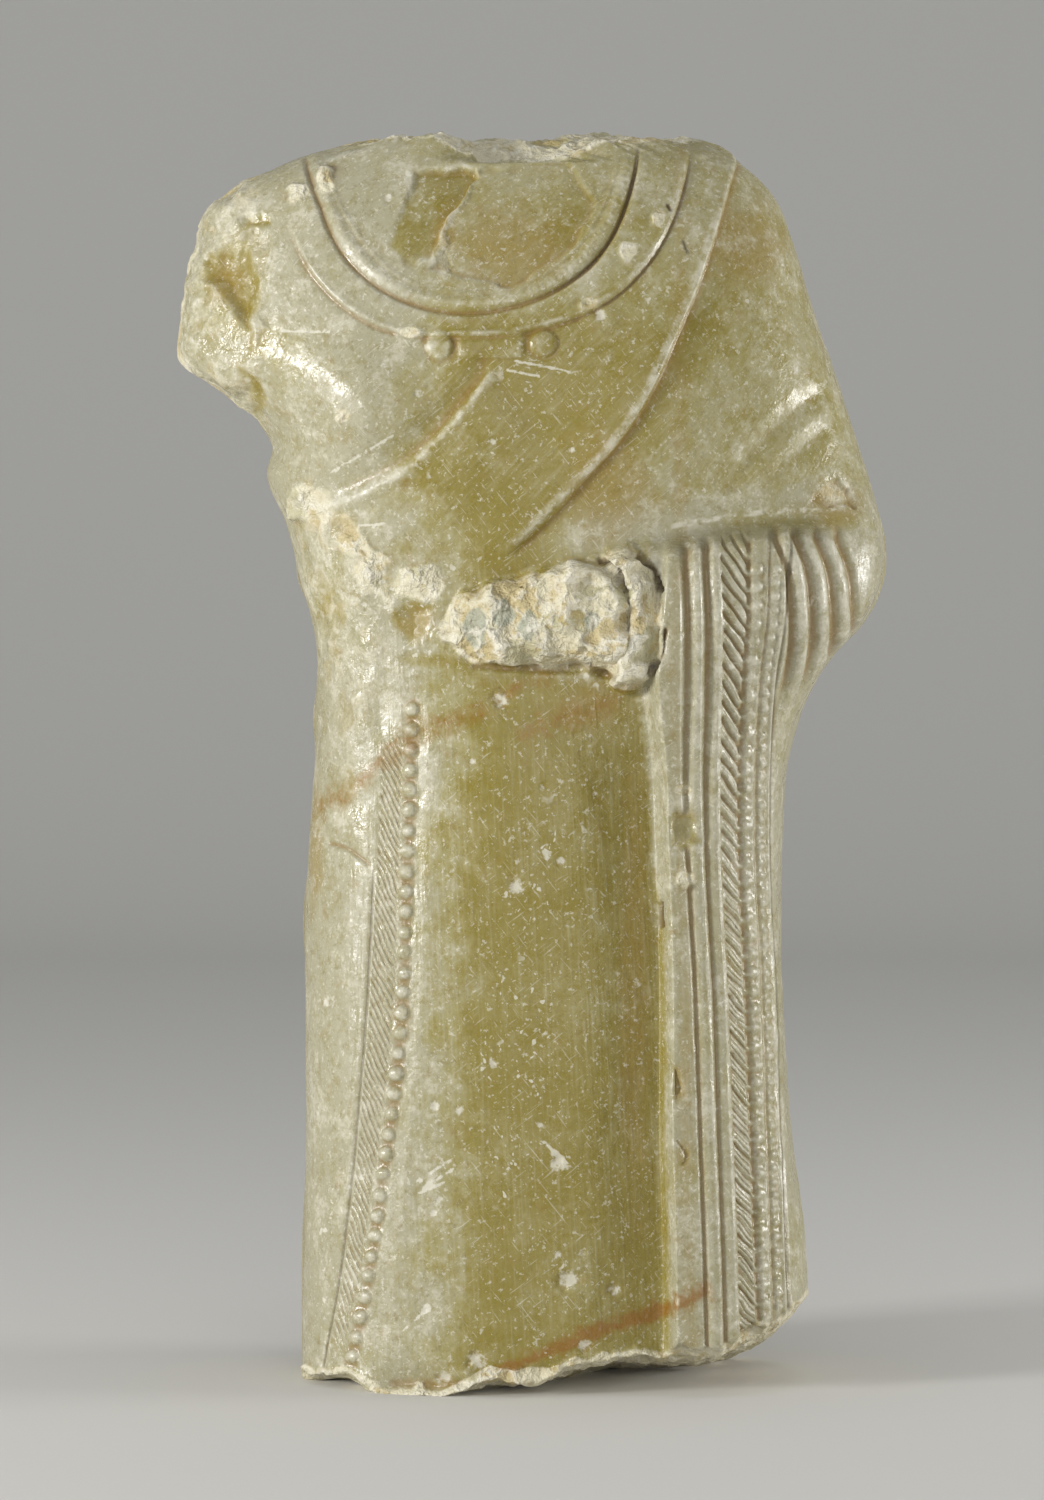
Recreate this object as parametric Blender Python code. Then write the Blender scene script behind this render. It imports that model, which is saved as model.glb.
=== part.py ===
"""Headless standing figure in a long dress and a shawl, carved from one piece of alabaster.

The figure is worked out in units of its own height: UNITS_HIGH of them make HEIGHT. It faces -Y, +X is the
viewer's right and +Z is up. The body is a closed surface S(round, up): rings of a rounded box section, set
one on the other from the broken underside to the broken neck. Carving is drawn on a front elevation, with X
across and Z up in the same units, as an eye a few figure heights away and a little above sees it. Large
forms are raised straight towards that eye, so that they stay in their place on the drawing, and fine ones
along the surface normal.
"""

import math
from itertools import product

import bpy
import numpy as np

HEIGHT = 0.275
THICKNESS = 0.0685
UNITS_HIGH = 98.4
UNIT = HEIGHT / UNITS_HIGH

EYE_DISTANCE = 480.0
EYE_TILT = math.radians(2.5)
EYE_X, EYE_Z = -0.79, 49.66
DRAWING_LIFT = 1.52

# Section of the body, how far the shawl and the hands stand out, and the pitch of the bead rows, in units.
SECTION_POWER = 2.35
SKIRT_DEPTH = 24.5
SHAWL_STEP = 2.6
HAND_STEP = 3.4
BEAD_PITCH, FINE_BEAD_PITCH, FLAP_BEAD_PITCH = 1.45, 1.1, 1.6
TOP_RING = 97.7
FOOT_FADE, HEAD_FADE = 22.0, 5.0
UNDERSIDE_FALL, RESTS_BELOW = 0.2, 0.12

COLUMNS = 420
SIDE_ROWS = 430
CAP_ROWS = 34
FACES_KEPT = 9600

ALABASTER = (0.36, 0.31, 0.17, 1.0)
ALABASTER_ROUGHNESS = 0.42


def ramp(t):
    """Smooth step: 0 below 0, 1 above 1, and 3t^2 - 2t^3 between."""
    t = np.clip(t, 0.0, 1.0)
    return t * t * (3.0 - 2.0 * t)


def rise(value, start, end):
    """Smooth step from 0 where value is start to 1 where it is end."""
    return ramp((value - start) / (end - start))


def hump(t):
    """Bump of height 1 at t = 0 that runs out at t = -1 and t = 1: half of 1 + cos(pi t)."""
    return 0.5 + 0.5 * np.cos(math.pi * np.clip(t, -1.0, 1.0))


def through(*points):
    """Smooth curve through (place, value) points: cubic Hermite pieces, level beyond the two ends."""
    places, values = np.array(points, float).T
    slopes = np.gradient(values, places)

    def curve(t):
        t = np.clip(t, places[0], places[-1])
        i = np.clip(np.searchsorted(places, t) - 1, 0, len(places) - 2)
        gap = places[i + 1] - places[i]
        s = (t - places[i]) / gap
        return ((1 + 2 * s) * (1 - s) ** 2 * values[i] + s * (1 - s) ** 2 * gap * slopes[i]
                + s * s * (3 - 2 * s) * values[i + 1] + s * s * (s - 1) * gap * slopes[i + 1])

    return curve


def grain(points, size, seed):
    """Smooth seeded noise from -1 to 1: random values on a cubic lattice of the given size, blended."""
    table = np.random.default_rng(seed).uniform(-1.0, 1.0, (16, 16, 16))
    place = points / size
    cell = np.floor(place).astype(int)
    part = ramp(place - cell)
    total = np.zeros(points.shape[:-1])
    for corner in product((0, 1), repeat=3):
        weight = np.prod(np.where(corner, part, 1.0 - part), axis=-1)
        i, j, k = np.moveaxis((cell + corner) % 16, -1, 0)
        total += weight * table[i, j, k]
    return total


def scallops(points, size, seed):
    """Shell fracture: the squared distance, in sizes and at most 1, to the nearest of seeded centres.

    Added to a height it makes shallow bowls round the centres, with sharp rims between them.
    """
    centres = np.random.default_rng(seed).uniform(0.0, 1.0, (16, 16, 16, 3))
    place = points / size
    cell = np.floor(place).astype(int)
    nearest = np.ones(points.shape[:-1])
    for step in product((-1, 0, 1), repeat=3):
        i, j, k = np.moveaxis((cell + step) % 16, -1, 0)
        centre = cell + step + centres[i, j, k]
        nearest = np.minimum(nearest, np.sum((place - centre) ** 2, axis=-1))
    return nearest


def towards_line(x, z, points):
    """Distance on the drawing from (x, z) to the open line through the points."""
    nearest = np.full(np.shape(x), 1e9)
    for (ax, az), (bx, bz) in zip(points, points[1:]):
        length = (bx - ax) ** 2 + (bz - az) ** 2
        share = np.clip(((x - ax) * (bx - ax) + (z - az) * (bz - az)) / length, 0.0, 1.0)
        nearest = np.minimum(nearest, np.hypot(x - ax - share * (bx - ax), z - az - share * (bz - az)))
    return nearest


def inside(x, z, corners):
    """Depth inside a convex outline, its corners given anticlockwise: the least distance to a side."""
    depth = np.full(np.shape(x), 1e9)
    for (ax, az), (bx, bz) in zip(corners, corners[1:] + corners[:1]):
        across = ((bx - ax) * (z - az) - (bz - az) * (x - ax)) / math.hypot(bx - ax, bz - az)
        depth = np.minimum(depth, across)
    return depth


def drawn(points):
    """Place of surface points on the front drawing: central projection to the eye, in units."""
    x, y, z = points[..., 0], points[..., 1], points[..., 2] - EYE_Z
    scale = EYE_DISTANCE / (EYE_DISTANCE + y * math.cos(EYE_TILT) - z * math.sin(EYE_TILT))
    across = EYE_X + (x - EYE_X) * scale
    up = EYE_Z + DRAWING_LIFT + (y * math.sin(EYE_TILT) + z * math.cos(EYE_TILT)) * scale
    return across, up


# Body: the outline of the drawing, the trunk's own sides behind the broken shoulder and the elbow, and the
# depth in front of and behind the middle plane, all against height.
left_side = through((0, -18.2), (20, -17.85), (40, -17.8), (55, -17.0), (60, -17.1), (64.6, -18.25),
                    (69.4, -19.5), (72.9, -20.9), (75.3, -20.5), (78.8, -23.8), (81.2, -27.1), (85.9, -27.8),
                    (90.7, -26.5), (94.3, -25.4), (95.7, -23.2), (97.2, -20.0), (98.1, -18.3), (99.6, -13.6))
right_side = through((0, 21.9), (10.9, 21.3), (25, 20.2), (34.6, 19.7), (44, 19.8), (51.2, 20.4), (55, 21.6),
                     (58.7, 23.8), (61.1, 26.0), (64.6, 27.6), (67, 27.8), (70.5, 27.1), (75.3, 25.7),
                     (81.2, 23.8), (87, 21.8), (91.9, 20.4), (94.8, 19.1), (97.2, 16.75), (98.6, 14.4),
                     (99.6, 11.0))
left_trunk = through((0, -18.2), (40, -17.8), (55, -17.0), (66, -18.3), (76, -20.0), (86, -21.5), (93, -21.5),
                     (96, -20.0), (99.6, -13.6))
right_trunk = through((0, 21.9), (25, 20.2), (44, 19.8), (56, 20.2), (66, 21.3), (76, 22.3), (85, 21.8),
                      (94.8, 18.6), (98, 15.0), (99.6, 11.0))
front_depth = through((0, 12.0), (30, 11.9), (52, 11.6), (68, 12.0), (78, 12.9), (87, 12.1), (93, 10.2),
                      (97, 7.8), (99.6, 5.8))
back_depth = through((0, 12.6), (30, 12.3), (52, 11.9), (68, 12.6), (80, 13.6), (88, 13.2), (94, 11.4),
                     (97.5, 9.6), (99.6, 8.0))

# Broken lower edge of the front. Behind it the underside falls away, and is worn flat where it rests.
lower_edge = through((-18.1, 1.2), (-13.6, 1.0), (-11.8, 0.0), (-8.8, 0.0), (-6.0, 0.4), (-2.5, 1.2),
                     (0.6, 1.4), (5.4, 2.8), (9.0, 3.0), (13.3, 3.05), (16.4, 3.8), (19.6, 5.3), (21.8, 7.3))


def underside(x, y):
    """Height of the broken underside: the front edge's height, less a fall behind it, never below 0."""
    behind = y + 12.0 * np.sqrt(np.clip(1.0 - (x / 23.0) ** 2, 0.0, 1.0))
    places = np.stack([x, y, 0 * x], axis=-1)
    rough = 0.6 * scallops(places, 5.0, 21) + 0.35 * grain(places, 1.4, 22)
    lifted = lower_edge(x) * 0.98 - UNDERSIDE_FALL * np.clip(behind, 0.0, None)
    return np.clip(lifted + rough * rise(lifted, -0.6, 0.6), 0.0, None)


def neck_break(x, y):
    """Height of the broken neck: a plane that rises to the back, dipped in front, with shell fractures."""
    dip = 1.7 * rise(-y, 0.5, 6.0) * hump((x + 1.0) / 8.5)
    places = np.stack([x, y, 0 * x], axis=-1)
    rough = 0.9 * scallops(places, 6.5, 31) - 0.4 + 0.15 * grain(places, 1.3, 32)
    return TOP_RING + 0.06 * y - dip + rough


def angles(count):
    """Angles round a ring, closer together where the front of the section is, 0 at +X."""
    fine = np.linspace(0.0, 2.0 * math.pi, 4001)
    power = 2.0 / SECTION_POWER
    x = 20.0 * np.sign(np.cos(fine)) * np.abs(np.cos(fine)) ** power
    y = 12.0 * np.sign(np.sin(fine)) * np.abs(np.sin(fine)) ** power
    weight = np.where(y[1:] + y[:-1] < 6.0, 2.2, 1.0)
    travelled = np.concatenate([[0.0], np.cumsum(np.hypot(np.diff(x), np.diff(y)) * weight)])
    return np.interp(np.linspace(0.0, travelled[-1], count + 1)[:-1], travelled, fine)


def ring(level, round_):
    """Rounded box section at a height: x = cos^(2/n), y = sin^(2/n), scaled to each side's own reach.

    The shoulder and the elbow stand out from the trunk only near the middle of the depth.
    """
    rise_up = (level - EYE_Z) * math.cos(EYE_TILT)
    far = EYE_DISTANCE - (level - EYE_Z) * math.sin(EYE_TILT)
    height = EYE_Z + DRAWING_LIFT + rise_up * EYE_DISTANCE / far
    power = 2.0 / SECTION_POWER
    across = np.sign(np.cos(round_)) * np.abs(np.cos(round_)) ** power
    along = np.sign(np.sin(round_)) * np.abs(np.sin(round_)) ** power
    near_middle = rise(1.0 - np.abs(along + 0.12), 0.0, 0.8)
    middle = 0.5 * (left_trunk(height) + right_trunk(height))
    left = left_trunk(height) + (left_side(height) - left_trunk(height)) * near_middle
    right = right_trunk(height) + (right_side(height) - right_trunk(height)) * near_middle
    x = middle + np.where(across > 0.0, right - middle, middle - left) * across
    x = EYE_X + (x - EYE_X) * far / EYE_DISTANCE
    fullness = THICKNESS / (SKIRT_DEPTH * UNIT)
    y = np.where(along > 0.0, back_depth(height), front_depth(height)) * along * fullness
    return x, y


def body(columns, side_rows, cap_rows):
    """Closed base surface as rows of rings: the underside, the sides and the neck break.

    Each end shrinks its last ring to a point. Between them a ring's height is its level, lifted near the foot
    by the underside and near the top by the neck break.
    """
    round_ = angles(columns)
    knots = np.array([0.0, 90.0, 93.5, TOP_RING])
    shares = np.array([0.0, 0.86, 0.92, 1.0])
    level = np.interp(np.linspace(0.0, 1.0, side_rows), shares, knots)[:, None]
    x, y = ring(level, round_[None, :])
    foot = underside(x[:1], y[:1]) * rise(1.0 - level / FOOT_FADE, 0.0, 1.0)
    head = (neck_break(x[-1:], y[-1:]) - TOP_RING) * rise(level, TOP_RING - HEAD_FADE, TOP_RING)
    sides = np.stack([x, y, level + foot + head], axis=-1)
    shrink = 1.0 - (np.arange(1, cap_rows + 1) / (cap_rows + 1.0))[:, None] ** 0.8
    caps = []
    for edge, height in ((sides[0], underside), (sides[-1], neck_break)):
        centre = edge[:, :2].mean(axis=0)
        flat = centre + (edge[None, :, :2] - centre) * shrink[..., None]
        caps.append(np.concatenate([flat, height(flat[..., 0], flat[..., 1])[..., None]], axis=-1))
    return np.concatenate([caps[0][::-1], sides, caps[1]], axis=0)


def normals(grid):
    """Unit outward normals of a closed grid: cross product of its steps round and up."""
    around = np.roll(grid, -1, axis=1) - np.roll(grid, 1, axis=1)
    upward = np.gradient(grid, axis=0)
    out = np.cross(around, upward)
    return out / np.maximum(np.linalg.norm(out, axis=-1, keepdims=True), 1e-12)


# Lines of the drawing that several carvings share.
shawl_fall = through((0, 10.4), (10.8, 10.35), (22, 10.1), (33.1, 10.1), (42.5, 9.8), (50.3, 9.5),
                     (56.7, 8.9), (62.6, 9.4), (66.2, 9.7))
forearm_line = through((-6, 65.4), (-2.1, 66.0), (0.6, 66.7), (3.8, 67.4), (7, 68.0), (13.3, 68.9),
                       (19.6, 69.4), (24.7, 69.6), (28, 69.4))
hem = through((0, 16.5), (10.8, 16.2), (22, 15.8), (33.1, 15.4), (42.5, 14.9), (50.3, 14.85), (56.7, 15.0),
              (62.6, 15.0), (66.2, 14.8))
hem_spread = through((0, 0.98), (30, 0.97), (50.3, 1.02), (56.6, 1.08), (62, 1.28), (66.2, 1.4))

# Outline of the broken hands, the planes that flaked off them (a middle, a height and its lean), and the line
# along the wrist beside them.
HAND = [(-7.7, 60.4), (-5.0, 57.9), (3.2, 57.3), (6.3, 57.0), (7.6, 59.1), (7.6, 63.2), (6.3, 65.5),
        (4.3, 66.4), (-1.9, 65.0), (-6.2, 63.6)]
HAND_PLANES = ((-4.5, 60.7, 1.75, 0.16, 0.04), (-0.3, 61.1, 2.75, 0.05, -0.08),
               (4.4, 61.0, 3.15, -0.04, 0.07))
WRIST = [(6.9, 66.2), (8.0, 65.2), (8.6, 63.4), (8.85, 61.5), (8.8, 59.8), (8.3, 58.1), (7.5, 57.2)]


def forearm(x, z):
    """Shawl over the bent forearm: a channel under the chest, then a swell that runs on down as the fall."""
    below = forearm_line(x) - z
    swell = through((0, 0.0), (0.9, -0.5), (2.0, 0.6), (3.2, 2.4), (5.0, 3.4), (8.0, 3.6), (14.0, 3.0),
                    (20.0, SHAWL_STEP), (70.0, SHAWL_STEP))
    soft = SHAWL_STEP * rise(below, -7.0, 9.0)
    elbow = rise(x, 21.0, 26.0)
    return swell(below) * (1.0 - elbow) + soft * elbow


def hand(x, z, wavy, torn):
    """Clasped hands and wrist: a boulder over an outline, cut by flake planes, and a round band beside it."""
    depth = inside(x + 0.6 * wavy + 0.3 * torn, z + 0.45 * wavy - 0.3 * torn, HAND)
    round_edge = np.sqrt(1.0 - (1.0 - np.clip(depth / 2.6, 0.0, 1.0)) ** 2)
    lump = HAND_STEP * (0.5 + 0.5 * rise(x, -7.0, 2.5)) * round_edge
    lump = lump + (0.5 * wavy + 0.3 * torn) * rise(depth, 0.0, 1.5)
    for at_x, at_z, level, lean_x, lean_z in HAND_PLANES:
        lump = np.minimum(lump, level + lean_x * (x - at_x) + lean_z * (z - at_z))
    across = towards_line(x + 0.25 * torn, z, WRIST) / 1.65
    wrist = (HAND_STEP - 0.5) * np.sqrt(np.clip(1.0 - across ** 2.5, 0.0, 1.0))
    return np.maximum(lump, wrist) * rise(forearm_line(x) - z, 0.2, 1.8)


# Where the broken right arm lay against the side and the waist.
ARM_SCAR_UPPER = [(-11.5, 55.0), (-10.9, 60.0), (-11.0, 65.5), (-12.5, 68.5), (-16.0, 71.0), (-20.5, 71.5),
                  (-19.0, 55.0)]
ARM_SCAR_LOWER = [(-15.8, 43.4), (-13.0, 42.2), (-12.2, 50.0), (-11.7, 57.0), (-16.3, 57.5), (-16.2, 45.0)]


def arm_scar(x, z, wavy):
    """Depth inside the ragged outline where the right forearm lay against the side."""
    u, v = x + 0.7 * wavy, z + 0.8 * wavy
    return np.maximum(inside(u, v, ARM_SCAR_UPPER), inside(u, v, ARM_SCAR_LOWER))


def large_forms(x, z, wavy, torn):
    """Raising of the large forms on the drawing: the shawl's mass, the hands, the body and the arm's scar."""
    fall = rise(x - shawl_fall(z), -0.15, 1.2)
    over_hand = rise(z, 61.0, 66.0) * rise(x, -1.0, 6.0)
    raised = np.maximum(forearm(x, z) * np.maximum(fall, over_hand * 0.6), hand(x, z, wavy, torn))
    hollow = 0.9 * hump((x - shawl_fall(z) + 0.5) / 3.6) * rise(56.0 - z, 0.0, 8.0)
    breast = 1.0 * hump(np.hypot(x + 15.6, z - 78.8) / 7.5)
    covered_breast = 0.7 * hump(np.hypot(x - 9.0, z - 79.0) / 9.0)
    belly = 0.5 * hump(np.hypot((x + 1.0) / 11.0, (z - 46.0) / 13.0))
    scar = 0.35 * rise(arm_scar(x, z, wavy), 0.0, 2.5)
    return raised - hollow + breast + covered_breast + belly + scar


def beads(x, z, row, pitch, radius, low, high):
    """Row of round beads along x = row(z): the height of a dome of that radius over each bead's centre."""
    centre = np.round((z - low) / pitch) * pitch + low
    inside_row = (centre >= low) & (centre <= high)
    square = ((x - row(centre)) ** 2 + (z - centre) ** 2) / radius ** 2
    return np.where(inside_row, radius * np.sqrt(np.clip(1.0 - square, 0.0, 1.0)), 0.0)


def shawl_border(x, z):
    """Border of the hanging shawl: two grooves, a bead row, a plain strip, a finer bead row and a ridge."""
    from_hem = x - hem(z)
    spread = hem_spread(z)
    on_forearm = rise(forearm_line(x) - z, 1.2, 3.2)
    high = rise(z, 36.0, 60.0)
    cut = -(0.34 + 0.14 * high) * hump((from_hem + 2.52 + 0.15 * high) / (0.50 + 0.30 * high))
    cut -= (0.30 + 0.12 * high) * hump((from_hem + 1.05) / (0.44 + 0.26 * high))
    cut += 0.10 * hump((from_hem + 1.8) / 0.5) + 0.12 * hump((from_hem + 0.35) / 0.4)
    cut -= 0.16 * rise(from_hem, 0.0, 0.3) * rise(2.7 * spread - from_hem, 0.0, 0.4)
    cut -= 0.14 * hump((from_hem - 2.85 * spread) / 0.4)
    cut += 0.22 * hump((from_hem - 3.72 * spread) / 0.35) - 0.18 * hump((from_hem - 4.15 * spread) / 0.4)
    first = beads(x, z, lambda t: hem(t) + 2.15 * hem_spread(t), BEAD_PITCH, 0.48, 4.6, 66.0)
    second = beads(x, z, lambda t: hem(t) + 3.25 * hem_spread(t), FINE_BEAD_PITCH, 0.32, 5.0, 66.0)
    return (cut + 0.7 * first + 0.7 * second) * on_forearm


def side_flap(x, z):
    """Overlap of the dress on the viewer's left: a raised edge, a bead row and two lines beside it."""
    edge = through((0, -12.1), (7.7, -11.2), (13.3, -10.6), (19.6, -10.0), (25.1, -9.5), (31.4, -9.0),
                   (39.3, -8.6), (55.1, -8.3))
    row = through((0, -14.9), (3.8, -14.2), (8.5, -13.2), (17.9, -11.8), (25.1, -10.8), (32.7, -10.2),
                  (39.3, -10.0), (54.7, -9.5))
    line = through((0, -17.0), (3.8, -16.3), (9.3, -15.3), (15.6, -14.5), (28.3, -13.3), (40.9, -12.6),
                   (55.1, -11.6))
    below_scar = rise(55.5 - z, 0.0, 1.5)
    lower = rise(42.0 - z, 0.0, 2.0)
    sunk = 0.18 * rise(edge(z) - x, -0.1, 0.3) * rise(x - line(z), -0.6, 0.3)
    raised = 0.08 * hump((x - edge(z)) / 0.4) - sunk
    cut = 0.2 * hump((x - line(z)) / 0.35) + 0.14 * hump((x - line(z) + 0.75) / 0.35)
    dots = beads(x, z, row, FLAP_BEAD_PITCH, 0.62, 3.2, 55.0)
    return (raised + 0.6 * dots) * below_scar - cut * lower


def necklace(x, z):
    """Neck ornament in two bands between three edges, each a radius against the angle from straight down."""
    across, down = x + 4.9, 99.8 - z
    turn = np.degrees(np.arctan2(across, down))
    far = np.hypot(across, down)
    inner = through((-75, 11.5), (-50, 11.8), (-25, 12.5), (0, 12.5), (35, 12.4), (58, 12.0), (87, 11.8))
    middle = through((-64, 13.1), (-44, 13.9), (-15, 14.2), (14, 14.1), (47, 14.0), (72, 13.4), (87, 13.3))
    outer = through((-60, 16.2), (-48, 16.7), (-25, 16.9), (0, 16.0), (20, 16.4), (39, 17.1), (87, 17.4))
    torus = 0.26 * hump((far - 0.5 * (inner(turn) + middle(turn))) / 0.9)
    band = 0.2 * rise(far, middle(turn), middle(turn) + 0.4) * rise(outer(turn) - far, 0.0, 0.4)
    groove = (0.2 + 0.14 * rise(turn, 10.0, 45.0)) * hump((far - middle(turn)) / 0.32)
    drops = 0.26 * hump(np.hypot(x + 7.3, z - 83.1) / 1.5)
    drops += 0.24 * hump(np.hypot(x - 0.9, z - 83.3) / 1.5)
    shown = rise(96.5 - z, -3.0, 0.5) * rise(x, -20.0, -17.5)
    return (torus + band - groove) * shown + drops


def shawl_folds(x, z):
    """Shawl across the chest: its slanting upper edge, the long fold off the shoulder, the arm's furrows."""
    edge = through((-16.5, 71.1), (-14.7, 71.5), (-12.2, 72.6), (-8.2, 75.4), (-6.2, 77.6), (-3.2, 81.3))
    beyond = (edge(x) - z) / math.hypot(1.0, 0.85)
    edge_ends = rise(x, -17.5, -13.0) * rise(-x, 2.6, 4.2)
    over = 0.30 * rise(beyond, -0.3, 0.5) * rise(12.0 - beyond, 0.0, 11.0) + 0.12 * hump((beyond - 0.5) / 0.7)
    fold = through((66.2, -2.5), (68.2, -0.6), (70.1, 1.4), (72.5, 3.7), (74.3, 5.5), (77.2, 7.8),
                   (80.3, 9.6), (83.6, 11.1), (87, 12.6), (91.3, 14.1), (97.4, 15.9))
    slant = through((66.2, 0.70), (74.3, 0.72), (83.6, 0.90), (97.4, 0.97))
    past = (x - fold(z)) * slant(z)
    crest = 0.28 * rise(past, -3.5, 0.0) - 0.65 * rise(past, 0.0, 0.6) + 0.37 * rise(past, 0.6, 6.0)
    furrows = 0.18 * hump(towards_line(x, z, [(23.1, 79.2), (18.2, 75.5), (17.6, 71.7)]) / 1.7)
    furrows += 0.16 * hump(towards_line(x, z, [(22.7, 76.5), (20.1, 74.3)]) / 1.3)
    return over * edge_ends + crest * rise(z, 66.0, 68.0) - furrows * rise(z, 70.0, 72.0)


def elbow_pleats(x, z):
    """Pleats that hang from the bent elbow: four curved grooves with round ridges between them."""
    lean = through((54.0, -1.3), (58.3, -0.1), (63.0, 0.0), (65.7, -0.4), (68.0, -1.3))
    between = rise(z, 53.0, 58.0) * rise(68.6 - z, 0.0, 2.0)
    cuts = sum(hump((x - place - lean(z)) / 0.58) for place in (20.5, 22.1, 23.75, 25.4))
    ridges = sum(hump((x - place - lean(z)) / 0.8) for place in (21.3, 22.9, 24.6))
    return (0.2 * ridges - 0.38 * cuts) * between


# Outlines of the flakes that are gone from the neck, the shoulder, beside the hands and off the fall's
# ridge, each with its depth and the width of its edge.
THROAT_LEFT = [(-11.4, 90.8), (-9.6, 88.9), (-8.4, 89.9), (-4.2, 96.6), (-4.6, 97.4), (-9.2, 97.0)]
THROAT_RIGHT = [(-8.3, 88.9), (-1.5, 87.7), (2.7, 90.0), (5.3, 93.5), (5.2, 95.0), (1.5, 98.0),
                (-4.4, 97.3)]
FLAKES = (([(-26.3, 88.2), (-23.9, 85.2), (-22.4, 83.8), (-21.3, 85.9), (-21.0, 89.0), (-21.4, 91.2),
            (-22.2, 92.0), (-25.3, 90.8)], 1.0, 0.8),
          ([(-24.2, 91.4), (-22.1, 92.1), (-20.4, 92.7), (-20.4, 93.7), (-21.8, 94.0),
            (-23.2, 93.3)], 0.6, 0.7),
          ([(-24.2, 81.8), (-23.2, 79.2), (-21.9, 76.6), (-20.8, 75.8), (-20.9, 78.2), (-22.0, 80.6),
            (-23.3, 81.7)], 0.7, 0.9),
          ([(-11.3, 60.6), (-10.2, 59.4), (-7.6, 60.2), (-7.2, 62.2), (-8.3, 63.5),
            (-11.2, 63.6)], 0.55, 1.6),
          ([(10.2, 43.2), (12.4, 42.6), (13.7, 43.8), (13.8, 45.6), (12.6, 47.0), (10.8, 46.8),
            (10.0, 45.2)], 0.5, 1.0))


def breaks(x, z, wavy, torn, places):
    """Lost surface: flakes off the skin, chips along the lower edge, and roughness where stone is broken."""
    u, v = x + 0.6 * wavy + 0.35 * torn, z + 0.5 * wavy - 0.35 * torn
    sunk = 0.04 + 0.12 * np.clip(x + 11.5, 0.0, 5.5) * rise(z, 88.0, 91.0)
    lost = rise(inside(x, z, THROAT_LEFT), 0.0, 0.4) * sunk
    lost += 0.12 * rise(inside(u, v, THROAT_RIGHT), 0.0, 0.9)
    for outline, deep, edge in FLAKES:
        lost = lost + deep * rise(inside(u, v, outline), 0.0, edge)
    low_chips = rise(3.4 - z, 0.0, 2.6) * rise(x, -13.0, -11.0)
    lost += 0.9 * low_chips * (0.9 - scallops(places, 2.2, 45))
    return -lost + roughness(x, z, wavy, torn, places)


def roughness(x, z, wavy, torn, places):
    """Height of the shell fractures on the hands, the arm's scar and the shoulder, none on polished stone."""
    hands = np.maximum(rise(inside(x, z, HAND), -0.3, 0.5), rise(1.8 - towards_line(x, z, WRIST), 0.0, 0.6))
    hands = hands * rise(forearm_line(x) - z, 0.2, 1.6)
    scar = rise(arm_scar(x, z, wavy), 0.0, 2.5)
    shoulder = rise(-x + 0.8 * wavy, 20.6, 21.8) * rise(z, 75.0, 78.0)
    bowls = scallops(places, 3.2, 42) - 0.4 + 0.3 * grain(places, 2.3, 43) + 0.2 * torn
    return np.maximum.reduce([0.8 * hands, 0.2 * scar, 0.8 * shoulder]) * bowls


def back_folds(x, z):
    """Shawl on the back: a slanting upper edge to the shoulder, and folds that spread below it."""
    edge = 70.0 + (x + 19.0) * 0.64
    below = (edge - z) / math.hypot(1.0, 0.64)
    over = 0.5 * rise(below, -0.2, 0.7) + 0.3 * hump((below - 0.9) / 1.0)
    away = np.hypot(x - 26.0, z - 74.0)
    fan = np.degrees(np.arctan2(z - 74.0, 26.0 - x))
    rays = ((-14, 3.5), (-27, 4.0), (-41, 4.5), (-56, 5.0), (-72, 5.0))
    folds = sum(0.55 * hump((fan - turn) / wide) for turn, wide in rays)
    spine = 0.7 * hump((x + 2.0) / 6.0) * hump((z - 84.0) / 13.0)
    return over + folds * rise(away, 8.0, 22.0) * rise(below, 0.5, 3.0) - spine


def carved(columns, side_rows, cap_rows):
    """The whole carved surface as a closed grid of points, in units."""
    grid = body(columns, side_rows, cap_rows)
    x, z = drawn(grid)
    facing = -normals(grid)[..., 1]
    level = np.arange(len(grid))
    on_side = rise(level, cap_rows, cap_rows + 6.0) * rise(len(grid) - 1 - level, cap_rows, cap_rows + 6.0)
    front = rise(facing, 0.02, 0.34) * on_side[:, None]
    behind = rise(-facing, 0.02, 0.40) * on_side[:, None]
    wavy, torn = grain(grid, 2.6, 11), grain(grid, 1.1, 47)
    eye = np.array([EYE_X, -EYE_DISTANCE * math.cos(EYE_TILT), EYE_Z + EYE_DISTANCE * math.sin(EYE_TILT)])
    sight = eye - grid
    sight /= np.linalg.norm(sight, axis=-1, keepdims=True)
    shaped = grid + sight * (large_forms(x, z, wavy, torn) * front)[..., None]
    fine = shawl_border(x, z) * rise(x - shawl_fall(z), 0.8, 1.6)
    fine += side_flap(x, z) + necklace(x, z) + shawl_folds(x, z) + elbow_pleats(x, z)
    fine += breaks(x, z, wavy, torn, grid)
    rear = back_folds(grid[..., 0], grid[..., 2])
    return shaped + normals(shaped) * (fine * front + rear * behind)[..., None]


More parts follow.
